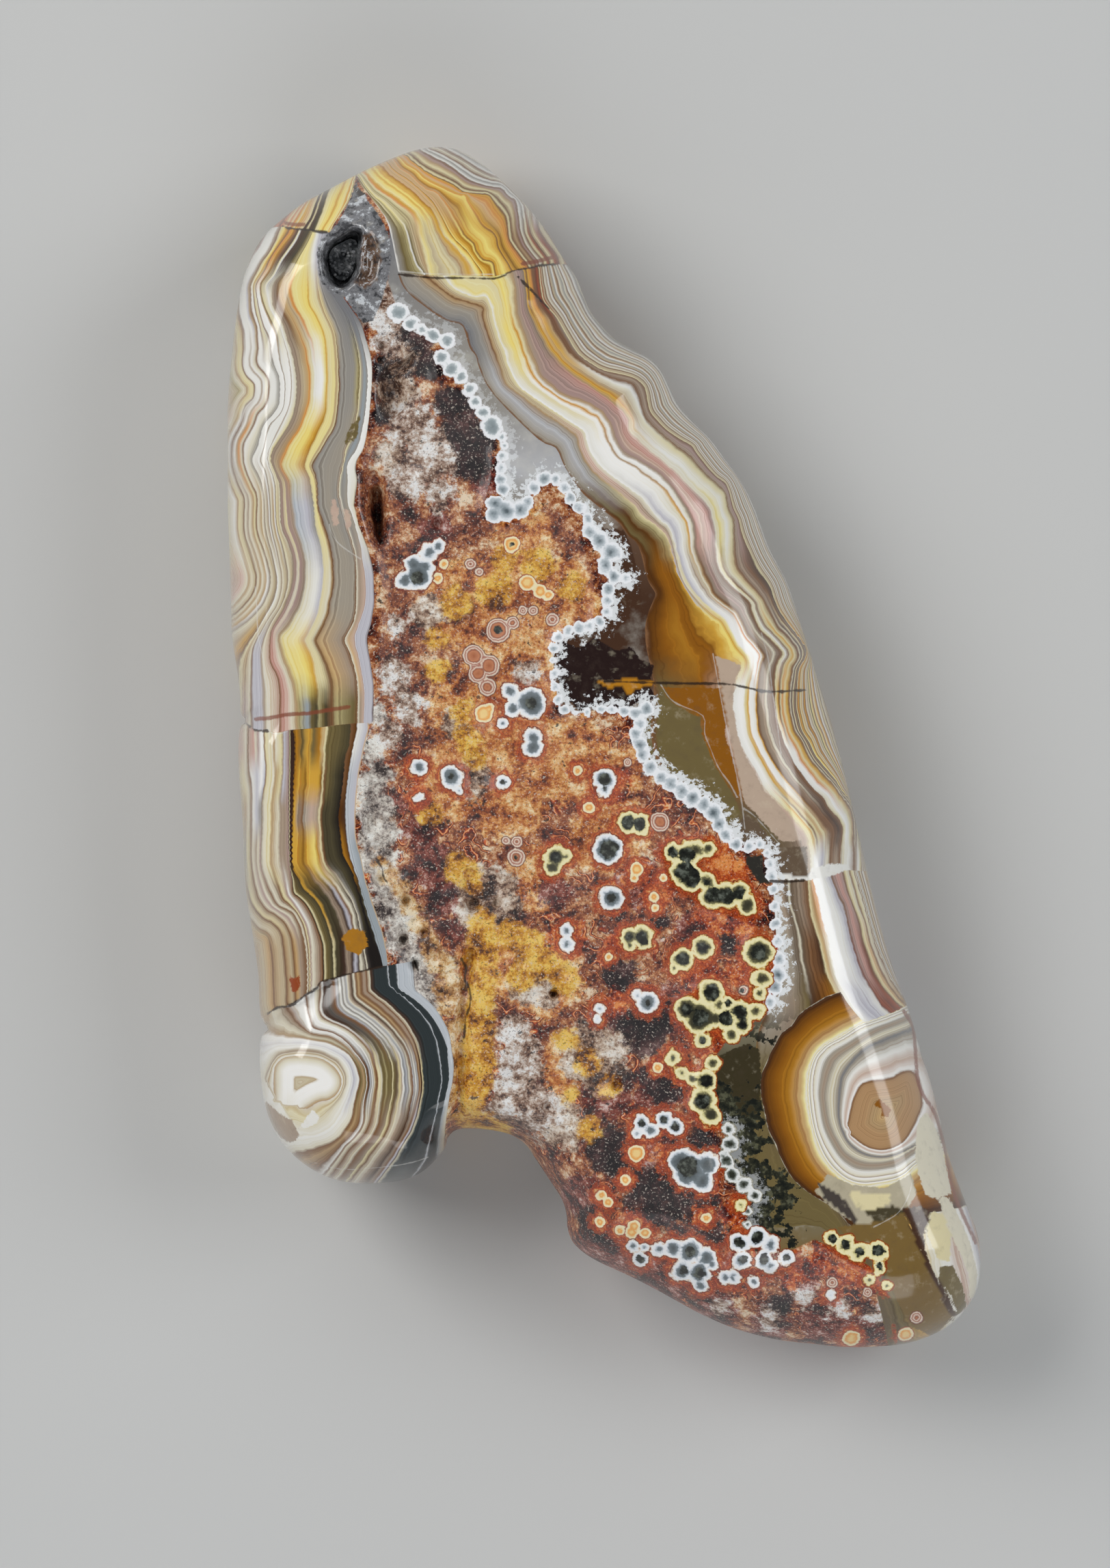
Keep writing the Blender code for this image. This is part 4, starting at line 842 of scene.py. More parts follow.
# %% Cracks and patches
CRACK_LEFT = walk(drawn("""
-50,2.6 16.8,-.2 .8,-.4 .8,-.5 1.2,-.1 .9,-.15 1.1,.25 1.4,.1 1.5,.15 1.3,.2 1.7,.15 7.5,.2
"""))
CRACK_TOP = walk(drawn("-50,47.6 20.7,-.3 .8,-.25 .7,-.1 1.1,-.15 .7,-.15 1,-.1 .7,-.05 9.3,0"))
CRACK_RIGHT = walk(drawn("""
-30,43 11.1,-.1 3.1,-.3 3.8,0 2,-.1 1.2,.3 .8,.3 1.2,.2 1,.3 2.2,.3 13.6,.3
"""))
CRACK_WINDOW = drawn("""
10,-9.2 12.6,-9.8 14.3,-10.6 15,-12 16.5,-12.1 18.2,-12 19.5,-11.4 21,-11.1 23.5,-11.3 30,-11.4
""")
LEDGE = walk(drawn("""
-50,-24.8 18.8,.1 .5,.3 1.15,.8 .95,.1 .9,.5 .7,.55 .95,.55 .45,.65 1.05,.25 1.25,.4 1.75,.4
1.55,.35 4,.65
"""))
PATCHES = [(tint, walk(steps)) for tint, steps in named("""
amber 4.3,5.4 7.3,-.1 -.7,-4.3 .7,-2 .55,-2.6 .25,-1.4 -1.1,1.7 -1,1.4 -.7,1.7 -.55,1.4 -.15,1.6
-2.2,1 -.9,.7 -.7,1.1
olive 4.9,5.3 .9,-1 .9,-.7 2,-1 .15,-1.4 .55,-1.5 .7,-1.7 1,-1.4 .9,-1.5 .3,-1.1 -.9,-1 -.8,1
-1.1,1 -1.5,1 -1.5,1 -1.1,1 -.6,1.5 -.1,2 .2,2
wan 12.5,7.4 -2.5,.8 .8,-4.2 .55,-3.1 .4,-1.9 .55,-2.6 .3,-1.4 1.2,-1.2 1.5,-1.7 .7,-.7 2,0
-1.1,1.9 -1.4,1.7 -1,1 -1.1,2.1 -.6,1.1 -.4,.9 -.4,1.1 -.4,2.6 .2,2
drab 12.7,-5.9 1,-.8 1.5,-1.7 .6,-.7 2.5,.1 .1,-2.8 -2.4,-.1 -.8,.9 -.6,1.6 -1.6,.5 -1,.3 .2,1.6
glass 12.6,-9.9 1.7,.15 .1,-1.65 .7,-1.1 -1.1,.1 -1.05,1.5
veil -25.6,45.9 1.2,1.2 .9,1.5 .6,1.4 .35,1.3 .45,-.9 1.1,-1.4 .8,-1.1 .7,-1.4 .3,-2.3 -.4,-2.2
-.6,-2 -.8,-1.6 -.9,-.1 -1,1.4 -.8,1.1 -1.2,.3 -.7,.9 -.35,1.4 -.05,1.6
shelf_brown -21.9,46.2 -.1,-1.4 0,-1.6 -.6,-1.2 1,-.6 1,.8 .4,1.8 -.3,1.6 -.6,1
smoke -22.9,51 .7,-.3 .8,-.8 -.5,-.2 -.7,.4
ochre -23.85,-17.2 .55,.4 .4,.45 .7,-.15 .6,-.2 .15,-.7 .15,-.6 -.5,-.4 -.3,-.55 -.7,.35 -.5,.1
-.2,.7
rust -28.5,-20.6 .5,-.3 .4,.2 .2,-.7 -.3,-.7 -.5,-.2 -.2,.8
petal -24.7,22.3 .4,.1 .3,-1 0,-1.4 -.5,-.1 -.2,1.1
petal -23.6,21.7 .5,-.3 .3,-1 -.2,-1 -.3,.3 -.2,.9
olive -23.5,27.2 .5,.4 .4,1.7 -.3,-.1 -.4,-1
olive -22.8,27.4 .4,.4 .4,2 -.3,.2 -.3,-1
fawn -30.8,-32.2 1.6,-1.2 .9,-.4 .4,-.7 .3,-.7 -.3,-.5 -.6,-.3 -.9,.4 -.7,.8 -.6,1.2 -.2,.8
white -26.4,-32.8 .7,-.6 -.2,-.7 -1,-.4 -.7,-.1 .4,.8
cream 29.6,-42 1.4,-.4 .4,-2.1 -.1,-2.2 -1.1,.3 -.7,1.4 -.4,1.1
olive 30.3,-47 1.3,0 1,-2 .4,-2 -.8,-.8 -.8,2 -1.1,1.4
bone 30.2,-40.8 1,0 1.2,-2.2 .9,-2.2 .7,-2.8 -.2,-2.3 -.6,.1 -.1,2.2 -.8,2 -.8,1.4 -.7,2
bone 28.5,-33.8 .8,.7 .7,-1.2 .4,-1 .8,-3.1 .4,-2.1 -1.4,-.5 -1.2,.4 -.6,2 -.3,1.3 .1,2.4
fan 19,-40.2 1.2,1.6 2.1,-1 3.1,-.3 2.3,1.3 .6,-1.6 -.9,-1.7 -1.4,-.8 -1.6,-.4 -1.6,-.1 -2.2,1.4
smoke 19.1,-39.2 1.3,-.9 1.3,-.8 .9,-1.4 .3,-1 -1,.7 -.9,.9 -1.2,.9
cream 22.2,-40.1 1.3,-.3 1.3,-.1 1,.2 .1,-.7 -1,-1 -1.2,0 -.9,.4 -.5,.7
fern 23.5,-42 2.5,.5 1,-.5 .6,-1.6 -.6,-.8 -2,.8
smoky_amber 21,-43.5 2,.4 2,.1 2,1 1.3,-2.6 1.3,-2.8 1.6,-3 .4,-1.6 -1.6,-1.8 -2.2,1.2 -1.4,2.6
-.8,2.2 -1,2.4 -2.6,1
umber 27,-41.8 1,-2.6 1.2,-2.8 1.4,-2.8 1.2,-2.4 .2,.6 -.8,2 -1,1.6 -.6,1.2 -.6,1.6 -.1,1.4
.7,1.8 -1,.7
amber 24.2,-32.4 .6,.6 .6,-.4 .6,-.6 -.4,-.8 -.6,.2 .1,.6
dark_quartz 9.9,-28.2 1.5,.8 1.6,.6 1,-.6 .2,-2.6 -.2,-3 -1.5,-1.2 -1.5,.6 -1,2.1
garnet -4,9.6 1.6,-.6 1.6,.9 1.8,-1.2 1.4,.4 .8,-1.2 1.3,-.5 -.4,-1.8 .7,-1.4 -1.6,-.1 -1.6,-1
-2,.8 -1.8,-.7 -1.2,1.1 -1,2.1
mustard -1.2,6.1 1.8,-.3 1.4,.4 2.8,-.3 -.4,-.3 -1.4,-.4 -.8,-.5 -.6,.7 -1.4,-.1
white 15.2,-11.5 3,-.2 .5,.7 1.7,.4 1.5,0 .4,-.5 -1.7,-.6 -2,-.4 -3.3,.1
umber -3.4,23.8 .8,-1.6 1.4,-1 .4,-1.4 2.6,-.2 .8,-2 .6,-2.6 .2,-2 -1.4,-.8 -1.1,1.2 .5,2.2
-.2,2.2 -1.6,1.5 -1.2,1.5 -1.2,1.2 -1.2,1.8
""")]
# the dark ground's small circles on the pores and in the groove are painted shade in the holes
CORE_GROUND = dict(named("""
rust_ground -12.5,13,4 -8,15,4 -4,13.5,3.5 -9,8.5,4 -12,3,4 -8,1,3.5 -4.5,7.5,3 -3.5,-1,4
-13,-3,3.5 -8.5,-5.5,3 -6,-12,3 -10,-19,3.5 -5.5,-21,3.5 -3,-29,3 .5,-8,3.5 -7,19,2.5 2,-2,2
mustard_ground -11,-15.9,1.2 -10.9,-17.4,1.5 -10.9,-19,1.6 -10.8,-20.6,1.5 -11,-22.2,1.3
-11.2,-23.8,1.4 -11.4,-25.4,1.4 -11.6,-27,1.4 -11.5,-28.6,1.6 -11.7,-30.2,1.6 -12,-31.8,1.4
-12.3,-33.4,1.2 -10.7,-34.3,1.1 -9.4,-34.6,.9 -13.2,-11,1.3 -11.9,-12.2,1.1 -8.6,-17,1.3
-6.8,-18.2,1.7 -5,-19.6,1.7 -3.6,-21,1.4 -7.4,-20.6,1.4 -3.5,-26.5,1 -1.5,-28.5,1.2 .4,-30.6,1
-1.5,-34.5,1.1 -3,-31.5,.8 -15.8,-6,1.1 -12.6,3,1.2 -12.4,.6,1.2 -11.8,-1,.9 -15.2,9.8,1 -15,7,1
-13.4,13,1.4 -10,14,1.6 -6,16.5,1.6 -3,14.5,1.2 -9,17,1.2 1.4,5.8,.5 .2,5.9,.5 2.6,5.8,.5
maroon_ground 0,-46,3 5,-49,2.6 10,-51,2 15,-52.6,2 20,-52,2.2 24.4,-52,1.4 4,-36,2.6 0,-31,2.6
6,-24,2.6 8,-38.6,2.4 12.4,-47.4,1.6 -2,-40.6,2 3,-12.6,2.2 8.4,-17,2.4 -16.6,-7.6,1.7
-15.4,-10.6,2 -14.3,-13.6,1.8 -13.4,-16.6,1.4 -18.8,-5.4,1.2 1,-25,2.4 -4.4,-13,1.6 5,-31,2.4
-13.4,12.6,1.6 -15,19.6,1.6 -10.4,24.4,1.8 17.6,-49,1.6
quartz_ground -19.8,39.6,2.4 -19.6,36.4,1.2 -17.4,29,2.2 -16,26.4,2.4 -17.6,24,1.8 -15,23,1.4
-19,6.5,1.4 -17.6,3.6,1.5 -19.4,1,1.2 -18.6,11,1 -8.2,-25.6,1.5 -7.6,-28,2.1 -7.8,-30.8,2.3
-6.2,-33,2.2 -9.4,-33.2,1.6 15,-52,.9 18,-49.8,.8 21,-50.8,1 24.6,-51.6,.9 10.5,-51,.7 -7,6.6,1.2
strip_ground -20.6,3,1.2 -20.8,0,1.4 -20.8,-3,1.5 -20.8,-5.6,1.6 -20.6,-8,1.7 -20.4,-10.4,1.7
-19.8,-12.6,1.7 -19.2,-14.8,1.7 -18.4,-17,1.6 -17.4,-19.2,1.6 -16.4,-21,1.3 -15.2,-23,1
-14.6,-25.4,.7
ridge_ground -20.3,-10.4,.6 -19.4,-11.6,.8 -18.5,-13,.9 -17.6,-14.4,.9 -16.7,-16.1,.9
-15.8,-17.9,1 -14.8,-19.7,1.2 -14.1,-21.5,1.3 -13.8,-23.4,1.2 -13.7,-25.3,1.1 -13.5,-27.3,1
-13.6,-29.3,.9 -13.9,-31.3,.9 -14.5,-33.1,.8 -14.9,-35,.6 -15.6,-36.6,.5
dark_ground -19,37.5,1.6 -17,36.6,1.6 -16,34.5,1.4 -20,30,1.1 -12.2,31,1.4 -11,27.6,1.3
-11.9,-14.6,.8 -9.7,-14.3,.8 -18,-14,.4 -12.3,-21.8,.4 -12.3,-23.6,.4 -12.6,-25.2,.3
-15.9,-21.2,.35 -19,34,2 -18.6,31.4,1.6 -13,28.4,2 -12,25.6,1.6 -13.8,31,1.6 3.4,-25.6,2.6
5.6,-30,2.2 .6,-36.6,2.2 4.6,-40.6,3 8.4,-41.6,2 -.8,-43,1.6 1.4,-20.6,1.6 9,-35.6,1.4 5,-15.4,1
11.6,-17,1.8 -14,-19.6,.6 9.8,-44,1.6 16,-50.6,1.2
red_ground 10.8,-10.6,1.3 12.2,-11.2,1.2 9.6,-15.4,1.6 12.4,-16,1.4 .4,-3.4,1.7 -16.9,-4.7,1
-3.4,-17.4,1.5 .9,-23.4,1.3 4.8,-13.2,1.6 2.8,-11.5,1 3.4,-34.4,1.3 7,-29.6,1.1 2.5,-43.8,1.6
8.6,-20.4,1.6 12.6,-20.4,1.4 1.2,-17.8,1 22,-47.6,1.4 19.4,-46.6,1.2 27.3,-51.6,.8 5.4,-37.4,1
8.8,-42.7,1 -.2,-41,.9 9.4,-26.8,1.2 17.2,-47.8,1 11.4,-42.2,1.2
""", 3))
PATCH_TINTS = sorted({tint for tint, _ in PATCHES})
print("patches", len(PATCHES), "in", len(PATCH_TINTS), "tints")

# %% [markdown]
# ## Writing the numbers onto the mesh
# Blender can keep a number at every vertex, called an attribute, and a material can read it.
# So the band numbers and the distances are computed once here, and the material only has to
# turn them into colour. On the flanks the sampling place moves inward with depth, as it does
# in a real nodule, whose bands are bowls and not upright walls.

# %% Attributes of the stone
BOWL_TOP, BOWL_STEP, BOWL_SHRINK = 11.5, 4.0, 0.050
depth_below = np.clip((BOWL_TOP - vertices[:, 2]) / BOWL_STEP, 0.0, None)
place = vertices[:, :2] * (1.0 - BOWL_SHRINK * depth_below)[:, None]
lace_line = EYES["lace"][:, :2]
SHORE = np.vstack([lace_line[:-8], drawn("13.4,-25 11,-26.6 9.6,-28.5 8.8,-31 9.6,-33.2"),
                   lace_line[-8:],
                   drawn("14,-47 19,-44.6 24,-47 26,-50 27,-56 60,-60 60,60 -19,60 -19.6,42")])
WEST, NORTHWEST, NOWHERE = drawn("-160,-160 -160,160"), drawn("-160,160 -160,-160"), drawn("")
EDGE_SHARE = 5.0


def put(name, values):
    """Stores one number at each vertex of the stone."""
    layer = stone_mesh.attributes.new(name, "FLOAT", "POINT")
    layer.data.foreach_set("value", np.asarray(values, np.float32))


def reach_past(points, line, leave, far):
    """Signed distance past a growth line, negative before it."""
    long = np.vstack([line[:1] + leave[0], line, line[-1:] + leave[1]])
    gap = path_distance(points, long, False)
    return np.where(inside_loop(points, np.vstack([long, far])), -gap, gap)


FAMILIES = {
    "left_upper": (LEFT_UPPER, (15, 60), (0, -60), WEST, (-40, -12, 0, 50)),
    "left_lower": (LEFT_LOWER, (0, 60), (15, -60), WEST, (-40, -10, -27, 5)),
    "left_eye": (EYE_OPEN, (-4, 60), (-30, -40), WEST, (-40, -6, -46, -16)),
    "top_left": (TOP_LEFT, (-20, -60), (20, 60), NORTHWEST, (-34, -12, 43, 57)),
    "top_fan": (TOP_FAN, (-20, 60), (10, -60), WEST, (-27, 10, 40, 57)),
    "right_upper": (RIGHT_UPPER, (-30, 60), (0, -60), WEST, (-24, 30, -14, 46)),
    "right_lower": (RIGHT_LOWER, (-5, 60), (15, -60), WEST, (4, 36, -57, -8)),
    "right_eye": (RIGHT_EYE, (90, 30), (90, 10), NOWHERE, (12, 36, -57, -22)),
}
CLOSED_LINES = {"left_eye": EYE_CLOSED, "right_eye": EYE_MIDDLE}
band_of, first_reach, last_reach = {}, {}, {}
for name, (lines, start, end, far, (left, right, low, high)) in FAMILIES.items():
    near = ((place[:, 0] > left) & (place[:, 0] < right)
            & (place[:, 1] > low) & (place[:, 1] < high))
    points = place[near]
    reach = [reach_past(points, line, ((0, 0), (0, 0)), NOWHERE)
             for line in CLOSED_LINES.get(name, [])]
    reach += [reach_past(points, line, (start, end), far) for line in lines]
    number = band_number(np.array(reach))
    if name in ("right_upper", "right_lower"):
        way_out = reach[-1] + path_distance(points, outline, True) + 0.3
        number = np.where(reach[-1] > 0, len(reach) - 1 + EDGE_SHARE * reach[-1] / way_out,
                          number)
    for table, beyond, found in ((band_of, 0.0, number), (first_reach, -50.0, reach[0]),
                                 (last_reach, 50.0, reach[-1])):
        table[name] = np.full(len(place), beyond)
        table[name][near] = found
past_white = np.where(place[:, 1] > -33, band_of["right_lower"] - 2.6, -5.0)
over_left, over_top, over_right, over_window, over_ledge = (
    above(place, line) for line in (CRACK_LEFT, CRACK_TOP, CRACK_RIGHT, CRACK_WINDOW, LEDGE))
zone_of = {
    "left_upper": (-last_reach["left_upper"], over_left, -over_top),
    "left_lower": (-last_reach["left_lower"], -over_left, over_ledge),
    "left_eye": (-last_reach["left_eye"], -over_ledge),
    "top_left": (-last_reach["top_left"], over_top),
    "top_fan": (first_reach["top_fan"], over_right, place[:, 0] + 23.0),
    "right_upper": (first_reach["right_upper"], -over_right, over_window),
    "right_lower": (first_reach["right_lower"], -over_window),
    "right_eye": (-last_reach["right_eye"], -over_window,
                  np.maximum(3.9 - band_of["right_eye"], -past_white)),
}
for name in FAMILIES:
    put("band_" + name, band_of[name])
    put("zone_" + name, np.minimum.reduce(zone_of[name]))


def group_distance(group):
    """Distance from the joined rims of many circles, negative inside them."""
    best = np.full(len(place), 1e3)
    for x, y, radius in group:
        best = np.minimum(best, np.hypot(place[:, 0] - x, place[:, 1] - y) - radius)
    return best


for name, group in {**EYES, **CORE_GROUND, "rough_ground": ROUGH_GROUND}.items():
    put(name, group_distance(group))
for name, lines in (("dark_cracks_and_shade", DARK_CRACKS_AND_SHADE_LINES), ("pale_lines", PALE_LINES),
                    ("rust_lines", RUST_LINES)):
    put(name, np.min([path_distance(place, line, False) for line in lines], axis=0))
patch_depth = np.full(len(place), -1e3)
patch_tint = np.zeros(len(place), int)
for tint, loop in PATCHES:
    inside = depth_in(place, loop)
    chosen = (inside > patch_depth) | (inside > 0)
    patch_depth = np.maximum(inside, patch_depth)
    patch_tint = np.where(chosen, PATCH_TINTS.index(tint), patch_tint)
put("patch_depth", patch_depth)
put("core_depth", depth_in(place, CORE))
put("shore", depth_in(place, SHORE))
print("attributes", len(stone_mesh.attributes))

# %% [markdown]
# ## The crust of quartz points
# The pit near the top is lined with clear quartz. Each crystal is a six-sided prism with a
# six-sided point, and hundreds of them share one floor as a crust. They could be scattered
# copies of one crystal, but one mesh keeps them one thing, as they are in the stone. Their
# sizes and tilts come from a seeded draw, so that every run grows the same crust.

# %% Grow the crystals
def crystal(bm, seat, height, width, tilt, turn):
    """One prism with a pointed end, rising from its seat."""
    axis = Vector((math.sin(tilt) * math.cos(turn), math.sin(tilt) * math.sin(turn),
                   math.cos(tilt)))
    side = axis.orthogonal().normalized()
    other = axis.cross(side)
    rings = []
    for share, spread in ((-0.15, 1.0), (0.62, 0.92)):
        ring = []
        for k in range(6):
            angle = turn + k * math.pi / 3
            offset = side * math.cos(angle) + other * math.sin(angle)
            ring.append(bm.verts.new(seat + axis * height * share + offset * width * spread))
        rings.append(ring)
    tip = bm.verts.new(seat + axis * height)
    for k in range(6):
        n = (k + 1) % 6
        bm.faces.new((rings[0][k], rings[0][n], rings[1][n], rings[1][k]))
        bm.faces.new((rings[1][k], rings[1][n], tip))
    bm.faces.new(rings[0][::-1])


VUG_MIDDLE = np.array([-23.7, 44.2])
CRUST_SHARE = 0.64
SEAT_LIFT = 0.30
POINT_ROOM = 0.12
crust_low, crust_high = (np.array(corner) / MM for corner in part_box("vug_crystals"))
crust_edge = even_loop(VUG_MIDDLE + CRUST_SHARE * (VUG_MOUTH - VUG_MIDDLE), 0.42)
draw = np.random.RandomState(11)
crust = bmesh.new()
rim, underside = ([crust.verts.new(Vector((x, y, crust_low[2] + lift)) * MM)
                   for x, y in crust_edge] for lift in (0.35, 0.02))
crust.faces.new(rim[::-1])
crust.faces.new(underside)
for k in range(len(rim)):
    n = (k + 1) % len(rim)
    crust.faces.new((rim[k], rim[n], underside[n], underside[k]))
for row in np.arange(crust_low[1], crust_high[1], 0.34):
    for column in np.arange(crust_low[0], crust_high[0], 0.36):
        seat = np.array([[column + draw.uniform(-.1, .1), row + draw.uniform(-.1, .1)]])
        height = draw.uniform(0.55, 1.5)
        tilt, turn = draw.uniform(0.05, 0.75), draw.uniform(0, 6.28)
        room = depth_in(seat, crust_edge)[0]
        if room < POINT_ROOM:
            continue
        height = min(height, crust_high[2] - crust_low[2] - 0.4)
        tilt = min(tilt, 0.9 * room / height)
        foot = Vector((*seat[0], crust_low[2] + SEAT_LIFT)) * MM
        crystal(crust, foot, height * MM, draw.uniform(0.13, 0.24) * MM, tilt, turn)
bmesh.ops.recalc_face_normals(crust, faces=crust.faces)
crust_mesh = bpy.data.meshes.new("quartz_points")
crust.to_mesh(crust_mesh)
crust.free()
quartz = bpy.data.objects.new("quartz_points", crust_mesh)
bpy.context.scene.collection.objects.link(quartz)
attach(quartz, "root")
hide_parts("vug_crystals")
print("crust triangles", sum(len(f.vertices) - 2 for f in crust_mesh.polygons))

# %% [markdown]
# ## Colours by name
# A painter of this stone would mix a few dozen colours and use them again and again. They
# are listed once here, as they look on a screen, and turned into the linear values that
# Blender calculates with. Every band below only names its colour.

# %% The palette
SHADES = {name: rows.tolist()[0] for name, rows in named("""
white .95,.94,.91 snow .99,.98,.96 bone .9,.87,.78 cream .91,.86,.68 lemon .95,.89,.62
corn .97,.88,.5 gold .86,.66,.26 ochre .7,.48,.14 bronze .55,.38,.12 sand .78,.71,.58
tan .72,.6,.44 honey .8,.66,.46 taupe .6,.53,.46 fawn .68,.6,.52 mauve .68,.57,.54
rose .8,.61,.56 petal .8,.69,.62 blush .86,.74,.68 lilac .78,.77,.8 steel .62,.65,.67
ice .76,.78,.8 grey .61,.59,.56 dark_grey .38,.36,.34 ash .66,.62,.56 smoke .3,.27,.25
brown .5,.35,.23 brick .47,.24,.15 umber .29,.19,.13 ink .13,.11,.1 maroon .24,.16,.13
olive .46,.4,.25 sage .7,.65,.47 fern .3,.27,.19 amber .58,.36,.08 syrup .36,.21,.06
rust .6,.28,.13 orange .86,.58,.28 salmon .82,.52,.37 peach .86,.72,.54 mustard .74,.5,.12
drab .42,.35,.28 glass .2,.19,.17 veil .5,.5,.51 shelf_brown .42,.32,.25 dark_quartz .24,.21,.13
smoky_amber .5,.4,.22 garnet .16,.1,.09 wan .77,.68,.6 clay .72,.57,.41 fan .74,.7,.6
khaki .5,.47,.38 mist .74,.74,.75 slate .2,.225,.23
""", 3)}


def linear(shade):
    """Screen values of a colour as the linear values of the render."""
    return tuple(c / 12.92 if c <= .04045 else ((c + .055) / 1.055) ** 2.4
                 for c in shade) + (1.0,)


print("shades", len(SHADES), "bone as linear values", np.round(linear(SHADES["bone"]), 3))

# %% [markdown]
# ## Tools for mixing paint from nodes
# A material is a chain of nodes. These helpers add one node each and hand back its output,
# so that a finish reads from top to bottom like a recipe. Long runs of colour are cut into
# several colour ramps, because one ramp holds only 32 stops.

# %% Node helpers
class Paint:
    """A new material and short ways to add nodes to it."""

    def __init__(self, name):
        self.material = bpy.data.materials.new(name)
        self.material.use_nodes = True
        self.nodes = self.material.node_tree.nodes
        self.links = self.material.node_tree.links
        self.shader = self.nodes["Principled BSDF"]

    def feed(self, socket, value):
        """Links a socket, or sets it when the value is a plain number or colour."""
        if isinstance(value, bpy.types.NodeSocket):
            self.links.new(value, socket)
        else:
            socket.default_value = value

    def stored(self, name):
        """Reads one of the numbers stored on the mesh."""
        node = self.nodes.new("ShaderNodeAttribute")
        node.attribute_name = name
        return node.outputs["Fac"]

    def maths(self, operation, first, second=0.0):
        """One sum on two numbers."""
        node = self.nodes.new("ShaderNodeMath")
        node.operation = operation
        self.feed(node.inputs[0], first)
        self.feed(node.inputs[1], second)
        return node.outputs[0]

    def plus(self, first, second):
        """Two numbers added."""
        return self.maths("ADD", first, second)

    def minus(self, first, second):
        """One number less another."""
        return self.maths("SUBTRACT", first, second)

    def times(self, first, second):
        """Two numbers multiplied."""
        return self.maths("MULTIPLY", first, second)

    def fade(self, value, start, end):
        """A soft rise from 0 at start to 1 at end."""
        node = self.nodes.new("ShaderNodeMapRange")
        node.interpolation_type = "SMOOTHSTEP"
        self.feed(node.inputs["Value"], value)
        settings = {"From Min": min(start, end), "From Max": max(start, end),
                    "To Min": float(start > end), "To Max": float(start <= end)}
        for socket, setting in settings.items():
            node.inputs[socket].default_value = setting
        return node.outputs["Result"]

    def noise(self, scale, detail=4.0, roughness=0.6, along=None):
        """Noise in space, or along one number."""
        node = self.nodes.new("ShaderNodeTexNoise")
        node.inputs["Scale"].default_value = scale
        node.inputs["Detail"].default_value = detail
        node.inputs["Roughness"].default_value = roughness
        if along is None:
            self.links.new(self.space, node.inputs["Vector"])
        else:
            node.noise_dimensions = "1D"
            self.links.new(along, node.inputs["W"])
        return node.outputs["Fac"]

    def mix(self, under, over, amount, blend="MIX"):
        """Lays one colour over another."""
        node = self.nodes.new("ShaderNodeMix")
        node.data_type = "RGBA"
        node.blend_type = blend
        self.feed(node.inputs[0], amount)
        self.feed(node.inputs[6], under)
        self.feed(node.inputs[7], over)
        return node.outputs[2]

    def ramp(self, value, stops, start=0.0, end=1.0):
        """Colours between start and end of a number."""
        spread = self.nodes.new("ShaderNodeMapRange")
        self.feed(spread.inputs["Value"], value)
        spread.inputs["From Min"].default_value = start
        spread.inputs["From Max"].default_value = end
        node = self.nodes.new("ShaderNodeValToRGB")
        self.links.new(spread.outputs["Result"], node.inputs["Fac"])
        elements = node.color_ramp.elements
        elements.remove(elements[1])
        for k, (position, colour) in enumerate(stops):
            share = (position - start) / (end - start)
            element = elements[0] if k == 0 else elements.new(share)
            element.position = share
            element.color = colour
        return node.outputs["Color"]

    def use(self, recipe_group, value):
        """Places a ready group of ramps."""
        node = self.nodes.new("ShaderNodeGroup")
        node.node_tree = recipe_group
        self.feed(node.inputs[0], value)
        return node.outputs[0]


class Recipe(Paint):
    """A group of ramps that turns a band number into a colour, from words such as 0:cream."""

    def __init__(self, name, words):
        self.tree = bpy.data.node_groups.new(name, "ShaderNodeTree")
        self.tree.interface.new_socket("Band", in_out="INPUT", socket_type="NodeSocketFloat")
        self.tree.interface.new_socket("Colour", in_out="OUTPUT", socket_type="NodeSocketColor")
        self.nodes, self.links = self.tree.nodes, self.tree.links
        band = self.nodes.new("NodeGroupInput").outputs[0]
        pairs = [word.split(":") for word in words.split()]
        stops = [(float(position), linear(SHADES[shade])) for position, shade in pairs]
        colour = None
        while len(stops) > 1:
            part, stops = stops[:31], stops[30:]
            here = self.ramp(band, part, part[0][0], part[-1][0])
            if colour is None:
                colour = here
            else:
                colour = self.mix(colour, here, self.maths("GREATER_THAN", band, part[0][0]))
        self.links.new(colour, self.nodes.new("NodeGroupOutput").inputs[0])


print("helpers", [name for name in vars(Paint) if not name.startswith("_")])

# %% [markdown]
# ## The recipe of each flank
# Every family of bands has a few recipes, each for one height on the stone, and they fade
# into each other on the way down the flank, as the real bands change colour along their
# length. A recipe starts with its height and ends with a semicolon. In a word such as
# 2.5:cream the number is a place among the growth lines, where whole numbers are the lines
# themselves, and the name is the shade there.

# %% Recipes of the left flank
def recipe_book(text, **shared):
    """Recipes with their heights. The name of a shared run of bands stands for its words."""
    book = []
    for entry in text.split(";"):
        level, *words = entry.split()
        book.append((float(level), " ".join(shared.get(word, word) for word in words)))
    return book


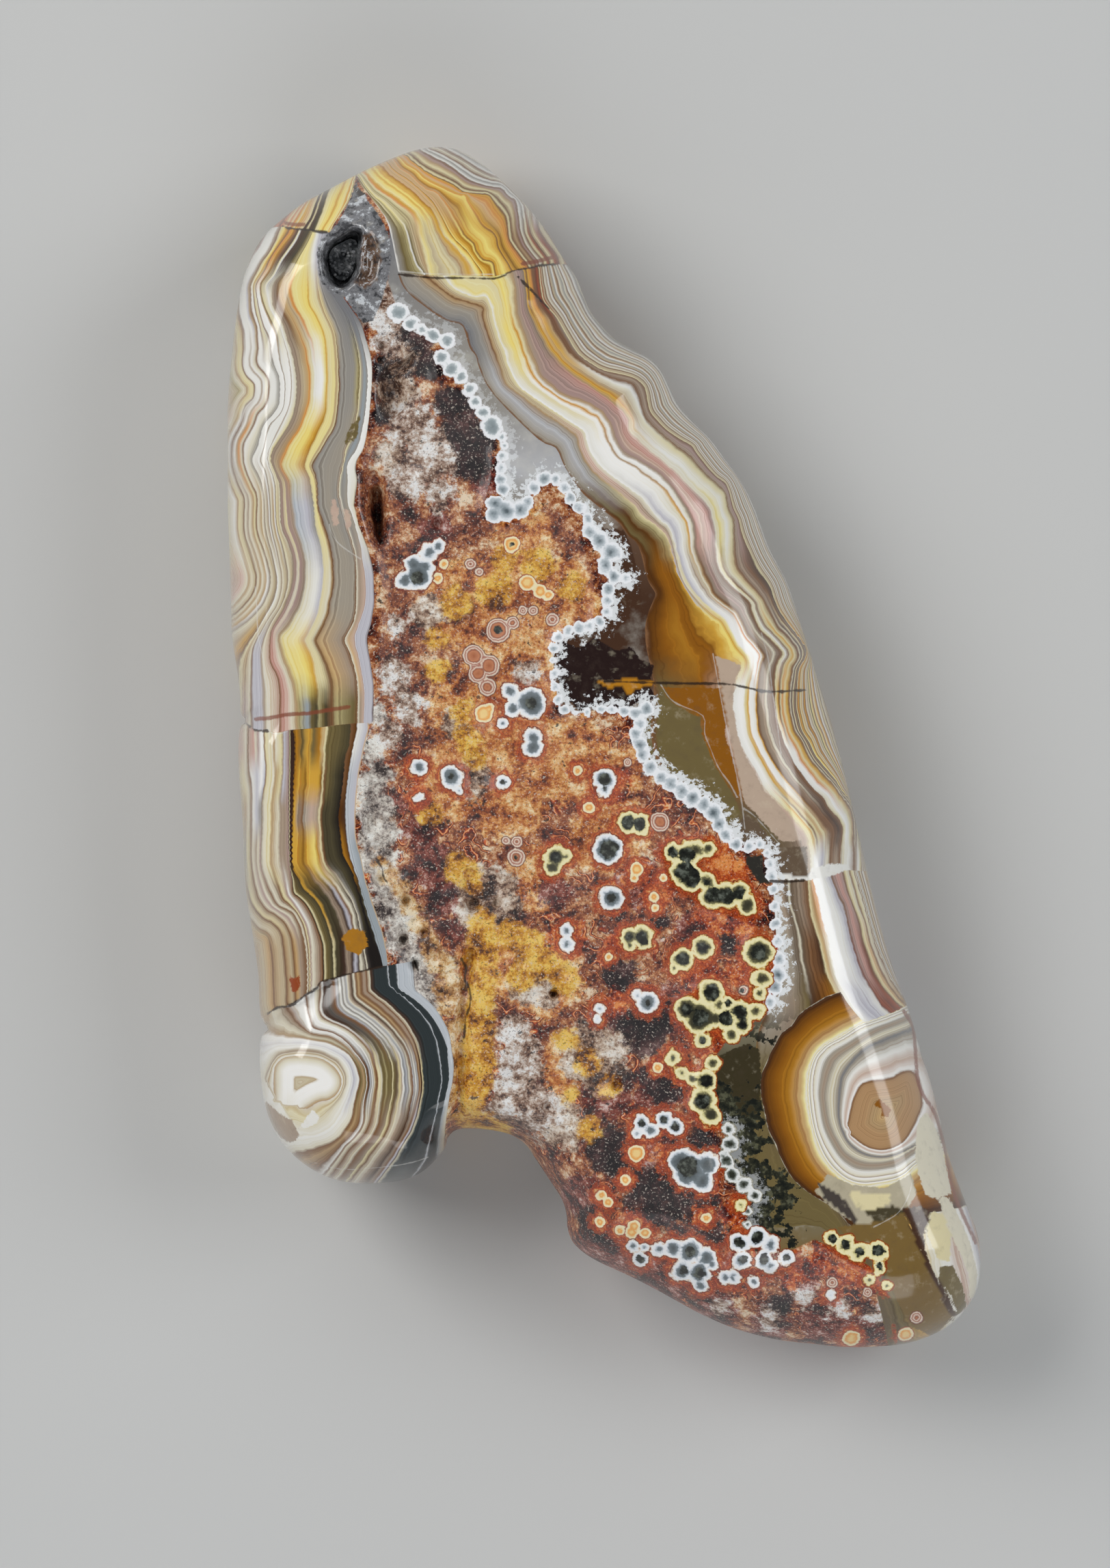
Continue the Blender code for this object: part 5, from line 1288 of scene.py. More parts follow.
LEFT_UPPER_RECIPES = recipe_book("""
45 -2.6:tan -2.1:cream -1.75:cream -1.55:brown -1.35:mauve -1.2:white -.5:white -.3:fawn
-.12:brown 0:cream .25:corn .5:gold .9:brown 1.1:orange 1.7:gold 2:ochre 2.4:brown 2.75:umber
2.9:cream 3.05:white 3.2:umber 3.9:fern 4.2:olive 4.8:sage 5:olive 5.15:lemon 5.8:lemon 6.1:cream
6.5:white 7:lilac 8:veil 12:veil;
40 -2.4:tan -1.9:cream -1.5:tan -1.3:brown -1.15:white -.6:white -.4:lilac -.25:tan -.05:brown
.08:white .28:white .4:brown .6:cream .85:bone 1:brown 1.15:white 1.8:snow 2:tan 2.2:olive
2.35:cream 2.95:bone 3.2:white 3.8:bone 4:fawn 4.3:taupe 4.55:brown 4.75:tan 5:honey 5.2:sand
5.3:orange 5.42:lemon 5.92:corn 6:gold 6.12:lemon 6.6:cream 6.8:tan 6.92:cream 7.05:sand 7.2:grey
8:veil 9:veil 10:veil 12:veil;
33 -3.2:sand -2.8:sage -2.4:bone -2.1:tan -1.9:cream -1.6:cream -1.45:brown -1.3:white -.9:white
-.75:fawn -.6:white -.3:bone -.1:brown .05:white .5:white .95:grey 1.08:white 1.9:snow 2.02:taupe
2.15:white 2.9:snow 3.03:fawn 3.18:white 3.85:bone 4:taupe 4.25:fawn 4.5:sand 4.8:honey
4.92:orange 5.05:cream 5.3:white 5.7:snow 5.9:lemon 6:gold 6.15:cream 6.6:lemon 6.75:tan
6.88:cream 6.97:brown 7.08:grey 7.7:grey 7.92:sage 8.02:olive 8.12:cream 8.3:ash 8.6:steel
8.95:grey 9.05:snow 9.85:white 10:umber 12:smoke;
28 -3.2:rose -2.6:blush -2.2:bone -1.8:tan -1.5:white -1.2:brown -.9:white -.7:tan -.5:orange
-.3:bone -.1:brown .05:white .5:bone .95:grey 1.08:white 1.9:white 2.02:taupe 2.15:white
2.9:white 3.03:fawn 3.18:white 3.85:cream 4:taupe 4.3:fawn 4.7:tan 4.9:orange 5.05:lemon 5.5:corn
5.85:gold 6:ochre 6.15:lemon 6.6:lemon 6.75:tan 6.88:cream 6.97:brown 7.08:grey 7.9:ash 8.02:fawn
8.12:cream 8.3:grey 8.6:steel 8.95:grey 9.05:snow 9.85:white 10:umber 12:smoke;
21 -3:cream -2.6:bone -2.2:white -1.9:tan -1.75:cream -1.4:sand -1.3:brown -1.15:bone -.9:fawn
-.75:bone -.45:tan -.3:cream -.1:brown .05:bone .5:tan .65:bone .95:taupe 1.08:bone 1.6:fawn
1.75:white 2.02:taupe 2.15:bone 2.6:tan 2.75:white 3.03:taupe 3.18:cream 3.6:sand 3.9:bone
4:taupe 4.2:mauve 4.5:cream 4.6:mauve 5:fawn 5.15:ice 5.7:lilac 6:grey 6.15:cream 6.6:lemon
6.8:tan 6.95:brown 7.1:grey 7.5:ash 7.9:grey 8.02:fawn 8.12:bone 8.3:grey 8.95:ash 9.05:white
9.85:bone 10:umber 12:smoke;
14 -3.2:petal -2.7:blush -2.3:bone -2.05:tan -1.85:bone -1.55:sand -1.4:brown -1.25:bone -1:tan
-.8:bone -.5:tan -.35:white -.1:taupe .05:bone .5:sand .95:taupe 1.08:white 1.6:bone 2.02:fawn
2.15:bone 2.7:sand 3.03:taupe 3.18:bone 3.7:sand 4:taupe 4.2:mauve 4.45:bone 4.6:mauve 5:taupe
5.12:bone 5.7:white 6:lilac 6.15:cream 6.7:bone 6.85:tan 6.95:brown 7.1:ash 7.9:ash 8.02:brown
8.1:bone 8.3:fawn 8.95:petal 9.05:lilac 9.85:lilac 10:umber 12:smoke;
7 -3:rust -2.4:rust -2:gold -1.6:brown -1.2:cream -.9:tan -.6:gold -.3:brown .05:bone .4:tan
.7:gold .95:brown 1.1:cream 1.5:tan 1.9:bone 2.02:brown 2.2:lilac 2.8:lilac 3.03:fawn 3.2:bone
3.9:petal 4:brown 4.15:rose 4.5:blush 4.7:bone 5:tan 5.15:lemon 5.7:corn 5.95:gold 6.1:cream
6.5:cream 6.9:brown 7.1:honey 7.8:fawn 8.02:brown 8.1:bone 8.4:peach 8.95:petal 9.05:lilac
9.85:lilac 10:umber 12:smoke;
3.2 -3:rust -2.4:brick -2:gold -1.6:brown -1.2:cream -.9:rose -.6:petal -.3:brown .05:bone
.4:blush .7:petal .95:brown 1.1:cream 1.5:mauve 1.9:bone 2.02:brown 2.2:lilac 2.8:lilac 3.03:fawn
3.2:bone 3.9:petal 4:brown 4.15:rose 4.5:blush 4.7:bone 5:tan 5.15:sage 5.5:steel 5.7:olive
5.95:fern 6.1:sage 6.3:olive 6.5:fern 6.9:brown 7.1:sage 7.8:olive 8.02:brown 8.1:bone 8.4:fawn
8.95:petal 9.05:lilac 9.85:lilac 10:umber 12:smoke
""")
LEFT_LOWER_RECIPES = recipe_book("""
0 -1.2:rose -.6:petal -.2:bone 0:brown .1:petal .35:rose .45:bone .6:mauve .8:snow .95:white
1:brown 1.1:cream 1.4:bone 1.5:tan 1.6:bone 1.9:cream 2.05:fawn 2.2:lilac 2.9:mauve 3:ink
3.1:cream 3.25:maroon 3.9:maroon 4:bronze 4.08:ochre 4.25:olive 4.45:gold 4.6:olive 4.8:ochre
5:cream 5.06:olive 5.3:olive 6:fern 6.15:brown 6.9:syrup 7.05:white 7.85:lilac 8:peach 8.2:umber
10:smoke;
-3 -1.2:sand -.6:cream -.3:bone 0:brown .12:white .5:lilac .75:snow .95:lilac 1:brown 1.1:cream
1.5:bone 1.6:tan 1.9:cream 2.05:fawn 2.2:lilac 2.9:mauve 3:ink 3.1:cream 3.25:maroon 3.9:maroon
4:bronze 4.08:ochre 4.2:gold 4.4:bronze 4.45:gold 4.8:gold 4.93:bronze 5:cream 5.06:brown
5.2:olive 5.6:fern 6:ink 6.15:brown 6.9:syrup 7.05:ice 7.85:lilac 8:peach 8.2:umber 10:smoke;
-6 -1.2:sand -.7:tan -.4:bone -.1:brown .1:white .5:lilac .9:grey 1:taupe 1.15:bone 1.5:cream
1.6:tan 1.9:bone 2.05:fawn 2.5:fawn 2.9:mauve 3:ink 3.1:cream 3.25:maroon 3.9:maroon 4:bronze
4.08:gold 4.2:fawn 4.4:brown 4.45:ash 4.7:petal 4.9:fawn 5:cream 5.06:brown 5.2:fern 5.6:fern
6:ink 6.15:syrup 6.9:umber 7.05:ice 7.85:lilac 8:peach 8.2:umber 10:smoke;
-9.5 -1.2:cream -.7:grey -.4:cream -.1:brown .1:bone .5:fawn .7:bone .95:mauve 1:taupe 1.15:bone
1.5:cream 1.6:tan 1.9:bone 2.05:fawn 2.5:fawn 2.9:mauve 3:ink 3.1:cream 3.25:maroon 3.9:maroon
4:bronze 4.08:gold 4.2:gold 4.4:bronze 4.5:gold 4.75:corn 4.85:ochre 5:cream 5.06:brown 5.2:fern
5.6:fern 6:ink 6.15:ochre 6.9:syrup 7.05:ice 7.85:steel 8:peach 8.2:umber 10:smoke;
-14 -2.6:tan -2.2:cream -1.9:brown -1.7:bone -1.2:sand -.9:brown -.7:cream -.4:sand -.1:brown
.1:bone .4:mauve .6:bone .9:brown 1.1:bone 1.5:brown 1.7:cream 2:mauve 2.2:white 2.6:fawn
2.9:brown 3:ink 3.12:cream 3.3:olive 3.9:fern 4:gold 4.1:fern 4.35:fern 4.45:fawn 4.6:maroon
4.68:lilac 4.78:brown 4.86:bone 5:maroon 5.1:bone 5.2:grey 5.5:fern 6:ink 6.2:ink 6.9:fern
7.05:steel 7.85:steel 8:peach 8.2:umber 10:smoke;
-19 -4.2:rust -3.6:tan -3:sand -2.4:honey -2.1:brown -1.9:tan -1.2:sand -.9:brown -.7:tan
-.4:sand -.1:brown .1:honey .4:fawn .9:brown 1.1:bone 1.5:brown 1.7:cream 2:mauve 2.2:bone
2.6:fawn 2.9:brown 3:ink 3.12:cream 3.3:olive 3.9:fern 4:cream 4.1:fern 4.35:maroon 4.45:fawn
4.6:maroon 4.7:lilac 4.8:maroon 4.86:bone 5:maroon 5.1:bone 5.2:smoke 5.5:ink 6:ink 6.9:ink
7.05:steel 7.85:steel 8:peach 8.2:umber 10:smoke
""")
LEFT_EYE_RECIPES = recipe_book("""
-24.5 -4:bone -1:bone 0:bone 1:brown 1.2:white 1.9:snow 2.05:tan 2.3:bone 2.6:brown 2.8:white
3:snow 3.1:brown 3.3:white 3.55:snow 3.7:bone 3.9:brown 4:white 4.12:umber 4.5:dark_grey
4.85:brown 5:mist 5.1:grey 5.2:white 5.35:grey 5.45:white 5.55:grey 5.62:mist 5.7:bone 5.8:fawn
5.95:umber 6.1:bone 6.2:brown 6.35:tan 6.5:brown 6.7:fawn 6.85:brown 7:bone 7.08:umber 7.3:slate
7.9:slate 8:ice 8.06:slate 8.9:slate 9.05:ice 9.9:ice 10:umber 12:umber;
-30 -4:snow -2.6:bone -1.9:sand -1.7:snow -.9:snow -.3:bone 0:tan .12:white .3:bone .45:tan
.6:bone .8:fawn 1:bone 1.3:white 1.6:lilac 1.9:white 2:brown 2.2:olive 2.6:tan 2.95:olive 3:white
3.1:brown 3.25:umber 3.4:mist 3.5:grey 3.58:white 3.68:grey 3.75:bone 3.85:tan 3.97:brown
4.05:brown 4.12:cream 4.28:bone 4.4:olive 4.55:olive 4.62:sage 4.7:olive 4.95:olive 5:cream
5.06:olive 5.25:drab 5.35:cream 5.45:fawn 5.52:white 5.6:veil 5.72:mist 5.78:grey 5.86:bone
5.9:fawn 6:brown 6.1:mist 6.18:grey 6.28:white 6.36:grey 6.46:mist 6.52:taupe 6.6:brown 6.7:tan
6.76:umber 6.85:umber 6.93:cream 7.02:slate 7.9:slate 8:ice 8.06:slate 8.9:slate 9.05:ice 9.9:ice
10:umber 12:umber;
-35 -4:snow -2:bone -.5:white 0:tan .5:cream 1:bone 1.5:white 1.9:bone 2:brown 2.3:tan 2.7:brown
3:white 3.15:brown 3.4:bone 3.8:brown 4.1:fawn 4.3:bone 4.5:brown 4.9:taupe 5:cream 5.15:brown
5.4:bone 5.6:fawn 6:umber 6.2:taupe 6.5:brown 6.7:lilac 6.85:umber 6.95:bone 7.1:slate 7.9:slate
8:ice 8.1:slate 8.8:slate 9.05:steel 9.9:bone 10:umber 12:umber
""")
print("left recipes", len(LEFT_UPPER_RECIPES), len(LEFT_LOWER_RECIPES), len(LEFT_EYE_RECIPES))

# %% [markdown]
# ## Recipes of the top and of the right flank
# The golden bands of the top need only three recipes, since the fan is short. The bands of
# the right flank near the outer edge are alike at every height, so that run of words is
# written once and shared. The eye in the right lobe has rings of its own.

# %% Recipes of the top
TOP_LEFT_RECIPES = recipe_book("""
48 -3:rust -1.5:rust -.8:salmon -.6:brick -.4:salmon -.1:peach 0:cream .2:salmon .45:cream
.6:salmon .8:gold 1:cream 1.15:gold 1.6:peach 1.9:cream 2:umber 2.2:umber 2.35:cream 2.5:umber
2.9:fern 3:olive 3.08:cream 3.3:lemon 3.7:corn 3.9:gold 4.1:corn 4.6:lemon 4.8:gold 4.95:orange
5.1:cream 5.45:lemon 5.6:brown 5.75:cream 5.9:peach 6:brown 6.2:veil 9:veil
""")
TOP_FAN_RECIPES = recipe_book("""
50 -1:veil -.25:veil -.1:umber 0:white .15:sage .45:olive .55:cream .75:sage .95:lemon 1.1:cream
1.5:sage 1.8:cream 2:orange 2.12:gold 2.25:lemon 2.45:corn 2.52:gold 2.6:corn 2.85:gold 3:ochre
3.1:peach 3.4:honey 3.7:peach 3.95:gold 4:brown 4.1:peach 4.5:honey 4.9:peach 5:orange 5.12:honey
5.4:ochre 5.6:gold 5.9:corn 6:orange 6.15:gold 6.5:peach 6.7:orange 6.9:gold 7:brown 7.1:cream
7.3:brown 7.5:cream 7.7:tan 7.85:mauve 8:brown 8.15:white 8.4:grey 8.6:white 8.75:brown 9:bone
9.3:brown 9.5:white 9.75:grey 10:bone 10.4:brown 10.8:white 11.2:tan 12:brown 13:bone;
45 -1:veil -.25:veil -.1:umber 0:snow .12:grey .5:olive .9:sage 1:white 1.1:olive 1.4:sand
1.8:tan 2:cream 2.12:lemon 2.3:sand 2.5:cream 2.7:sand 2.9:gold 3:cream 3.1:lemon 3.5:corn
3.9:gold 4:brown 4.1:corn 4.4:gold 4.7:ochre 4.9:corn 5:brown 5.1:gold 5.5:corn 5.9:gold 6:brown
6.1:gold 6.3:bronze 6.5:gold 6.8:orange 7:brown 7.1:cream 7.3:brown 7.5:tan 7.7:brown 7.9:mauve
8:brown 8.15:bone 8.4:brown 8.6:cream 8.8:rust 9:brown 9.2:cream 9.5:rust 9.8:brick 10.2:cream
10.5:rust 11:bone 12:brown 13:bone
""")
print("top recipes", len(TOP_LEFT_RECIPES), len(TOP_FAN_RECIPES))

# %% Recipes of the right flank
EDGE_BANDS = """
6.3:sand 6.5:brown 6.62:bone 6.9:fawn 7.05:white 7.25:brown 7.4:sand 7.65:grey 7.8:white 8:tan
8.15:brown 8.3:bone 8.6:grey 8.75:bone 8.95:brown 9.1:white 9.4:tan 9.6:bone 9.8:brown 10:white
10.3:grey 10.5:bone 10.8:brown 11.2:bone 11.6:tan 12:white
"""
WARM_EDGE_BANDS = """
6.3:gold 6.45:brown 6.55:cream 6.8:honey 6.95:bone 7.1:brown 7.25:gold 7.4:brick 7.5:bone
7.8:fawn 7.9:cream 8.1:umber 8.2:lemon 8.4:honey 8.55:brown 8.65:bone 8.95:gold 9.1:brown
9.25:white 9.5:fawn 9.7:cream 9.85:brown 10:bone 10.4:tan 10.6:brown 10.8:bone 11.4:tan 12:white
"""
RIGHT_UPPER_RECIPES = recipe_book("""
41 -.5:smoke 0:brown .1:grey .6:ash .9:tan 1:brown 1.12:tan 1.5:sand 1.9:cream 2:white 2.1:lemon
2.4:cream 2.6:corn 2.85:cream 3:tan 3.15:fawn 3.5:mauve 3.9:taupe 4:gold 4.15:brown 4.3:gold
4.6:orange 4.8:brown 5:brown 5.3:brick 5.6:rust 5.9:brown 6:cream 6.2:rust plain_edge;
37 -.5:smoke 0:brown .1:veil .6:grey .9:fawn 1:brown 1.12:tan 1.5:sand 1.9:cream 2:white
2.1:cream 2.4:corn 2.6:lemon 2.75:gold 2.85:cream 3:tan 3.15:fawn 3.5:mauve 3.9:taupe 4:tan
4.2:gold 4.4:honey 4.6:gold 4.9:tan 5:brown 5.5:brown 5.9:taupe 6:cream 6.15:sand plain_edge;
32 -.5:smoke 0:brown .1:ash .6:mist .9:fawn 1:tan 1.12:sand 1.5:sand 1.9:cream 2:snow 2.1:white
2.4:cream 2.6:snow 2.75:gold 2.85:white 3:tan 3.15:mauve 3.5:mauve 3.9:rose 4:tan 4.2:gold
4.4:tan 4.7:bone 4.8:white 5:brown 5.5:fawn 5.9:brown 6:cream 6.15:sand plain_edge;
26 -.5:smoke 0:brown .1:ash .6:mist .9:ash 1:tan 1.12:petal 1.5:blush 1.9:bone 2:snow 2.1:white
2.4:snow 2.65:snow 2.72:tan 2.8:white 2.9:snow 3:fawn 3.15:mauve 3.4:petal 3.7:rose 3.95:blush
4.05:bone 4.4:white 4.8:cream 5:brown 5.1:fawn 5.5:mauve 5.9:brown 6:cream 6.15:sand plain_edge;
20 -.5:smoke 0:brown .1:syrup .2:olive .5:syrup .85:sage 1:cream 1.12:petal 1.5:fawn 1.9:bone
2:white 2.15:lilac 2.4:white 2.6:bone 2.72:gold 2.8:white 2.9:bone 3:taupe 3.15:rose 3.4:petal
3.7:rose 3.95:mauve 4.05:bone 4.3:lemon 4.6:white 4.8:cream 5:brown 5.1:fawn 5.5:mauve 5.9:brown
6:cream 6.15:sand plain_edge;
15 -.5:smoke 0:brown .08:syrup .2:syrup .45:amber .75:amber .9:bronze 1:gold 1.1:lilac 1.4:fawn
1.7:bone 2:cream 2.15:lilac 2.4:white 2.6:fawn 2.8:bone 2.9:tan 3:brown 3.15:taupe 3.4:mauve
3.7:taupe 3.95:brown 4.05:bone 4.2:cream 4.3:brown 4.5:bone 4.7:cream 4.9:tan 5:brown 5.2:fawn
5.5:brown 5.9:umber 6:cream 6.15:sand plain_edge;
9.5 -.5:smoke 0:brown .05:syrup .3:amber .5:ochre .62:amber .75:amber .9:gold 1:corn 1.2:corn
1.6:gold 2:lemon 2.15:snow 2.6:snow 2.72:orange 2.8:white 2.9:tan 3:brown 3.15:taupe 3.4:fawn
3.6:bone 3.7:taupe 3.95:brown 4.05:cream 4.2:white 4.35:brown 4.45:cream 4.6:gold 4.7:cream
4.9:brown 5:brown 5.15:bone 5.25:umber 5.4:fawn 5.5:cream 5.6:brown 5.8:taupe 5.9:umber 6:cream
6.15:orange warm_edge;
4 -.5:smoke 0:brown .1:olive .6:amber .9:petal 1:white 1.5:snow 2:snow 2.15:cream 2.35:gold
2.45:snow 2.8:white 2.95:gold 3:brown 3.15:taupe 3.4:fawn 3.5:bone 3.6:taupe 3.9:brown 4:brown
4.06:cream 4.2:gold 4.3:brown 4.4:cream 4.5:orange 4.65:cream 4.8:gold 5:brown 5.15:bone
5.25:umber 5.4:fawn 5.5:cream 5.6:brown 5.8:taupe 5.9:umber 6:cream 6.15:rust warm_edge;
-2 -.5:smoke 0:brown .1:olive .6:amber .9:petal 1:white 1.5:snow 2:bone 2.15:gold 2.35:peach
2.45:snow 2.8:white 2.95:gold 3:brown 3.15:taupe 3.4:fawn 3.5:bone 3.6:taupe 3.9:brown 4:brown
4.06:white 4.3:snow 4.5:orange 4.65:cream 4.8:gold 5:brown 5.15:bone 5.25:umber 5.4:fawn
5.5:cream 5.6:brown 5.8:taupe 5.9:umber 6:cream 6.15:corn warm_edge;
-7 -.5:smoke 0:brown .1:olive .6:drab .9:petal 1:cream 1.3:lemon 1.6:gold 1.8:cream 2:brown
2.15:cream 2.35:honey 2.6:cream 2.8:tan 3:brown 3.3:brown 3.7:umber 4:brown 4.1:cream 4.3:snow
4.5:white 4.7:cream 4.85:tan 5:brown 5.2:bone 5.3:brown 5.5:fawn 5.6:cream 5.9:brown 6:cream
6.15:lemon plain_edge;
-10.6 -.5:smoke 0:brown .3:drab .9:fawn 1:bone 1.5:white 2:snow 2.5:lilac 3:bone 3.2:brown
3.7:fawn 4:brown 4.2:bone 4.6:white 5:brown 5.3:fawn 5.6:white 6:cream 6.15:sand plain_edge
""", plain_edge=EDGE_BANDS, warm_edge=WARM_EDGE_BANDS)
OUTER_BANDS = """
6.2:bone 6.4:brown 6.55:white 6.8:grey 7:bone 7.2:brown 7.4:tan 7.7:bone 8:brown 8.4:white 9:tan
10:bone 12:sand
"""
RIGHT_LOWER_RECIPES = recipe_book("""
-14 -2:umber -.5:drab 0:white .1:ash .5:fawn .9:drab 1:bone 1.1:drab 1.5:taupe 1.9:brown 2:cream
2.3:tan 2.9:orange 3:snow 3.3:snow 3.6:white 3.9:lilac 4:brown 4.15:mauve 4.5:rose 4.85:mauve
5:brown 5.15:cream 5.4:bone 5.55:brown 5.7:cream 5.9:bone 6:brown outer_edge;
-19 -2:umber -.5:drab 0:white .1:ash .5:ash .9:drab 1:bone 1.1:drab 1.5:brown 1.9:umber 2:cream
2.3:honey 2.9:bone 3:snow 3.3:snow 3.6:white 3.9:lilac 4:brick 4.15:mauve 4.5:rose 4.85:brick
5:brown 5.15:cream 5.4:peach 5.55:brown 5.7:bone 5.9:fawn 6:brown outer_edge;
-24 -2:umber -.5:drab 0:brown .1:ash .5:taupe .9:olive 1:umber 1.3:syrup 1.7:amber 1.95:ochre
2:cream 2.3:bone 2.9:white 3:snow 3.3:lilac 3.6:lilac 3.9:white 4:brick 4.15:rust 4.5:brick
4.85:rust 5:brown 5.15:cream 5.4:honey 5.55:brown 5.7:honey 5.9:tan 6:brown outer_edge;
-30 -2:dark_quartz -.5:olive 0:olive .2:olive .6:drab 1:fern 1.5:amber 2:gold 2.5:white 3:snow
4:bone 4.3:honey 4.8:tan 5:tan 5.4:honey 5.9:tan 6:brick 6.3:tan 6.8:cream 7.5:tan 9:bone 12:sand;
-41 -2:dark_quartz -.5:fern 0:olive .5:olive 1:drab 1.5:olive 2:gold 2.5:bone 3:white 3.5:petal
4:white 4.5:snow 5:lilac 5.5:petal 6:rust 6.3:bone 6.6:white 7:fawn 7.5:white 9:bone 12:sand
""", outer_edge=OUTER_BANDS)
RIGHT_EYE_RECIPES = recipe_book("""
-31 -5:honey -3:honey -2.2:tan -1.4:clay -.3:clay -.05:brown .05:snow .3:petal .6:white .85:ash
1:veil 1.15:ash 1.5:bone 1.9:ash 2.1:fawn 2.4:ash 2.7:white 3:bone 3.1:fawn 3.2:snow 3.5:bone
3.6:ash 3.7:snow 3.9:cream 4:white 4.06:lemon 4.15:honey 4.4:ochre 4.65:amber 4.9:syrup 5:umber
5.06:bone 5.15:drab 6:khaki 9:khaki
""")
print("right recipes", len(RIGHT_UPPER_RECIPES), len(RIGHT_LOWER_RECIPES))

# %% [markdown]
# ## The finish of the stone
# The colour is built up as the stone grew: first the jasper of the core, then the flanks of
# banded chalcedony, the clear patches, the lace and the eyes, and last the cracks. A little
# noise shakes every border, so that none looks ruled. The chalcedony is polished to a
# mirror, and the jasper stays duller and pitted.

# %% Start the stone's paint
BAND_SHAKE = 0.22
agate = Paint("banded_agate_polished")
coordinates = agate.nodes.new("ShaderNodeTexCoord")
to_mm = agate.nodes.new("ShaderNodeVectorMath")
to_mm.operation = "SCALE"
to_mm.inputs["Scale"].default_value = 1000.0
agate.links.new(coordinates.outputs["Object"], to_mm.inputs[0])
agate.space = to_mm.outputs[0]
axes = agate.nodes.new("ShaderNodeSeparateXYZ")
agate.links.new(agate.space, axes.inputs[0])
toward_top = axes.outputs["Y"]
stored, noise, fade, mix = agate.stored, agate.noise, agate.fade, agate.mix
plus, minus, times = agate.plus, agate.minus, agate.times
shake = times(minus(noise(0.55, 3.0, 0.5), 0.5), BAND_SHAKE)
height_on_stone = plus(toward_top, times(shake, 8.0))


def stipple(rows):
    """Stops of a ramp, from rows of a position and the red, green and blue on a screen."""
    return [(row[0], linear(row[1:])) for row in rows.tolist()]


def tinted(value, text, start=0.0, end=1.0):
    """A ramp over a number, from such rows written as text."""
    return agate.ramp(value, stipple(drawn(text, 4)), start, end)


def wash(under, paint, where, strength):
    """Paint laid over a colour where a mask is on, at some strength."""
    return mix(under, paint, times(where, strength))


print("nodes before any colour", len(agate.nodes))

# %% [markdown]
# ## Jasper of the core
# Jasper is full of iron in grains of every size, so its colour is a ramp over broad and
# sandy noise added together. Thin red and cream veins meander through its lower half: they
# come from a slow noise cut into many equal levels. Nine named grounds shift the ramp, each
# from where its circles lie, with a blotchy border. Near-black spots of painted shade, for the
# inside of small pits, and flecks come last. Painting on an image could copy every blot, but
# only noise stays sharp when the stone is enlarged.

# %% Jasper of the core
PIT_SHADE_BLACK = (0.012, 0.008, 0.008, 1.0)
FLECK_BLACK = (0.012, 0.006, 0.006, 1.0)
FLECK_CREAM = (0.74, 0.64, 0.54, 1.0)
TIDY_GROUNDS = ("dark_ground", "mustard_ground", "ridge_ground")
broad, sandy = noise(0.42, 7.0, 0.66), noise(2.3, 6.0, 0.70)
speckle = minus(plus(times(broad, 1.3), times(sandy, 0.7)), 1.0)
speckle = plus(times(speckle, 0.70), 0.5)
colour = tinted(speckle, """
.34,.09,.05,.06 .4,.24,.11,.1 .45,.42,.2,.14 .5,.57,.31,.19 .545,.7,.44,.27 .59,.82,.62,.45
.65,.93,.84,.72
""")
low_half = fade(toward_top, 12.0, -2.0)
lace_field = agate.maths("FRACT", times(noise(0.26, 2.6, 0.5), 11.0))
vein = tinted(lace_field, """
.3,.2,.07,.07 .4,.56,.2,.11 .47,.88,.48,.22 .5,.96,.82,.6 .53,.84,.4,.18 .6,.52,.17,.1
.7,.18,.06,.07
""")
near_vein = agate.maths("ABSOLUTE", minus(lace_field, 0.5))
colour = wash(colour, vein, fade(near_vein, 0.26, 0.14),
              times(low_half, fade(noise(0.4, 2.0, 0.5), 0.46, 0.54)))
GROUNDS = named("""
rust_ground .34,.28,.12,.08 .41,.56,.27,.13 .47,.74,.43,.2 .52,.84,.58,.32 .58,.92,.73,.49
.64,.97,.88,.72
maroon_ground .38,.12,.05,.06 .45,.27,.1,.09 .5,.41,.16,.12 .55,.53,.26,.2 .6,.66,.43,.38
.67,.86,.76,.73
dark_ground .38,.07,.04,.05 .47,.14,.08,.09 .54,.22,.13,.13 .6,.31,.19,.18 .68,.5,.38,.36
rough_ground .38,.16,.1,.09 .44,.4,.28,.22 .5,.66,.54,.45 .56,.82,.74,.66 .63,.93,.9,.86
strip_ground .37,.2,.15,.14 .43,.52,.47,.44 .49,.72,.68,.64 .54,.85,.82,.78 .6,.94,.93,.9
ridge_ground .37,.28,.15,.07 .43,.6,.4,.2 .49,.78,.58,.34 .54,.87,.73,.52 .6,.94,.87,.74
quartz_ground .38,.26,.16,.14 .45,.56,.43,.35 .51,.78,.7,.64 .58,.93,.92,.91
mustard_ground .36,.34,.17,.06 .43,.72,.46,.1 .5,.86,.63,.19 .58,.94,.78,.38
red_ground .38,.26,.07,.06 .45,.52,.17,.09 .52,.76,.34,.15 .6,.9,.58,.32
""", 4)
blotch = minus(noise(0.7, 10.0, 0.74), 0.5)
# the dark ground also paints shade into the pores and the groove
for name, rows in GROUNDS:
    spread = 3.5 if name in TIDY_GROUNDS else 6.0
    edge = plus(stored(name), times(blotch, spread))
    colour = mix(colour, agate.ramp(speckle, stipple(rows)), fade(edge, 0.35, -0.25))
# near-black noise spots: painted shade standing for the inside of small pits
colour = wash(colour, PIT_SHADE_BLACK, fade(noise(1.25, 6.0, 0.62), 0.375, 0.33), 0.85)
flecks = noise(5.2, 2.0, 0.5)
colour = wash(colour, FLECK_CREAM, fade(flecks, 0.58, 0.70), 0.60)
colour = wash(colour, FLECK_BLACK, fade(flecks, 0.42, 0.30), 0.60)
print("nodes with the jasper", len(agate.nodes))

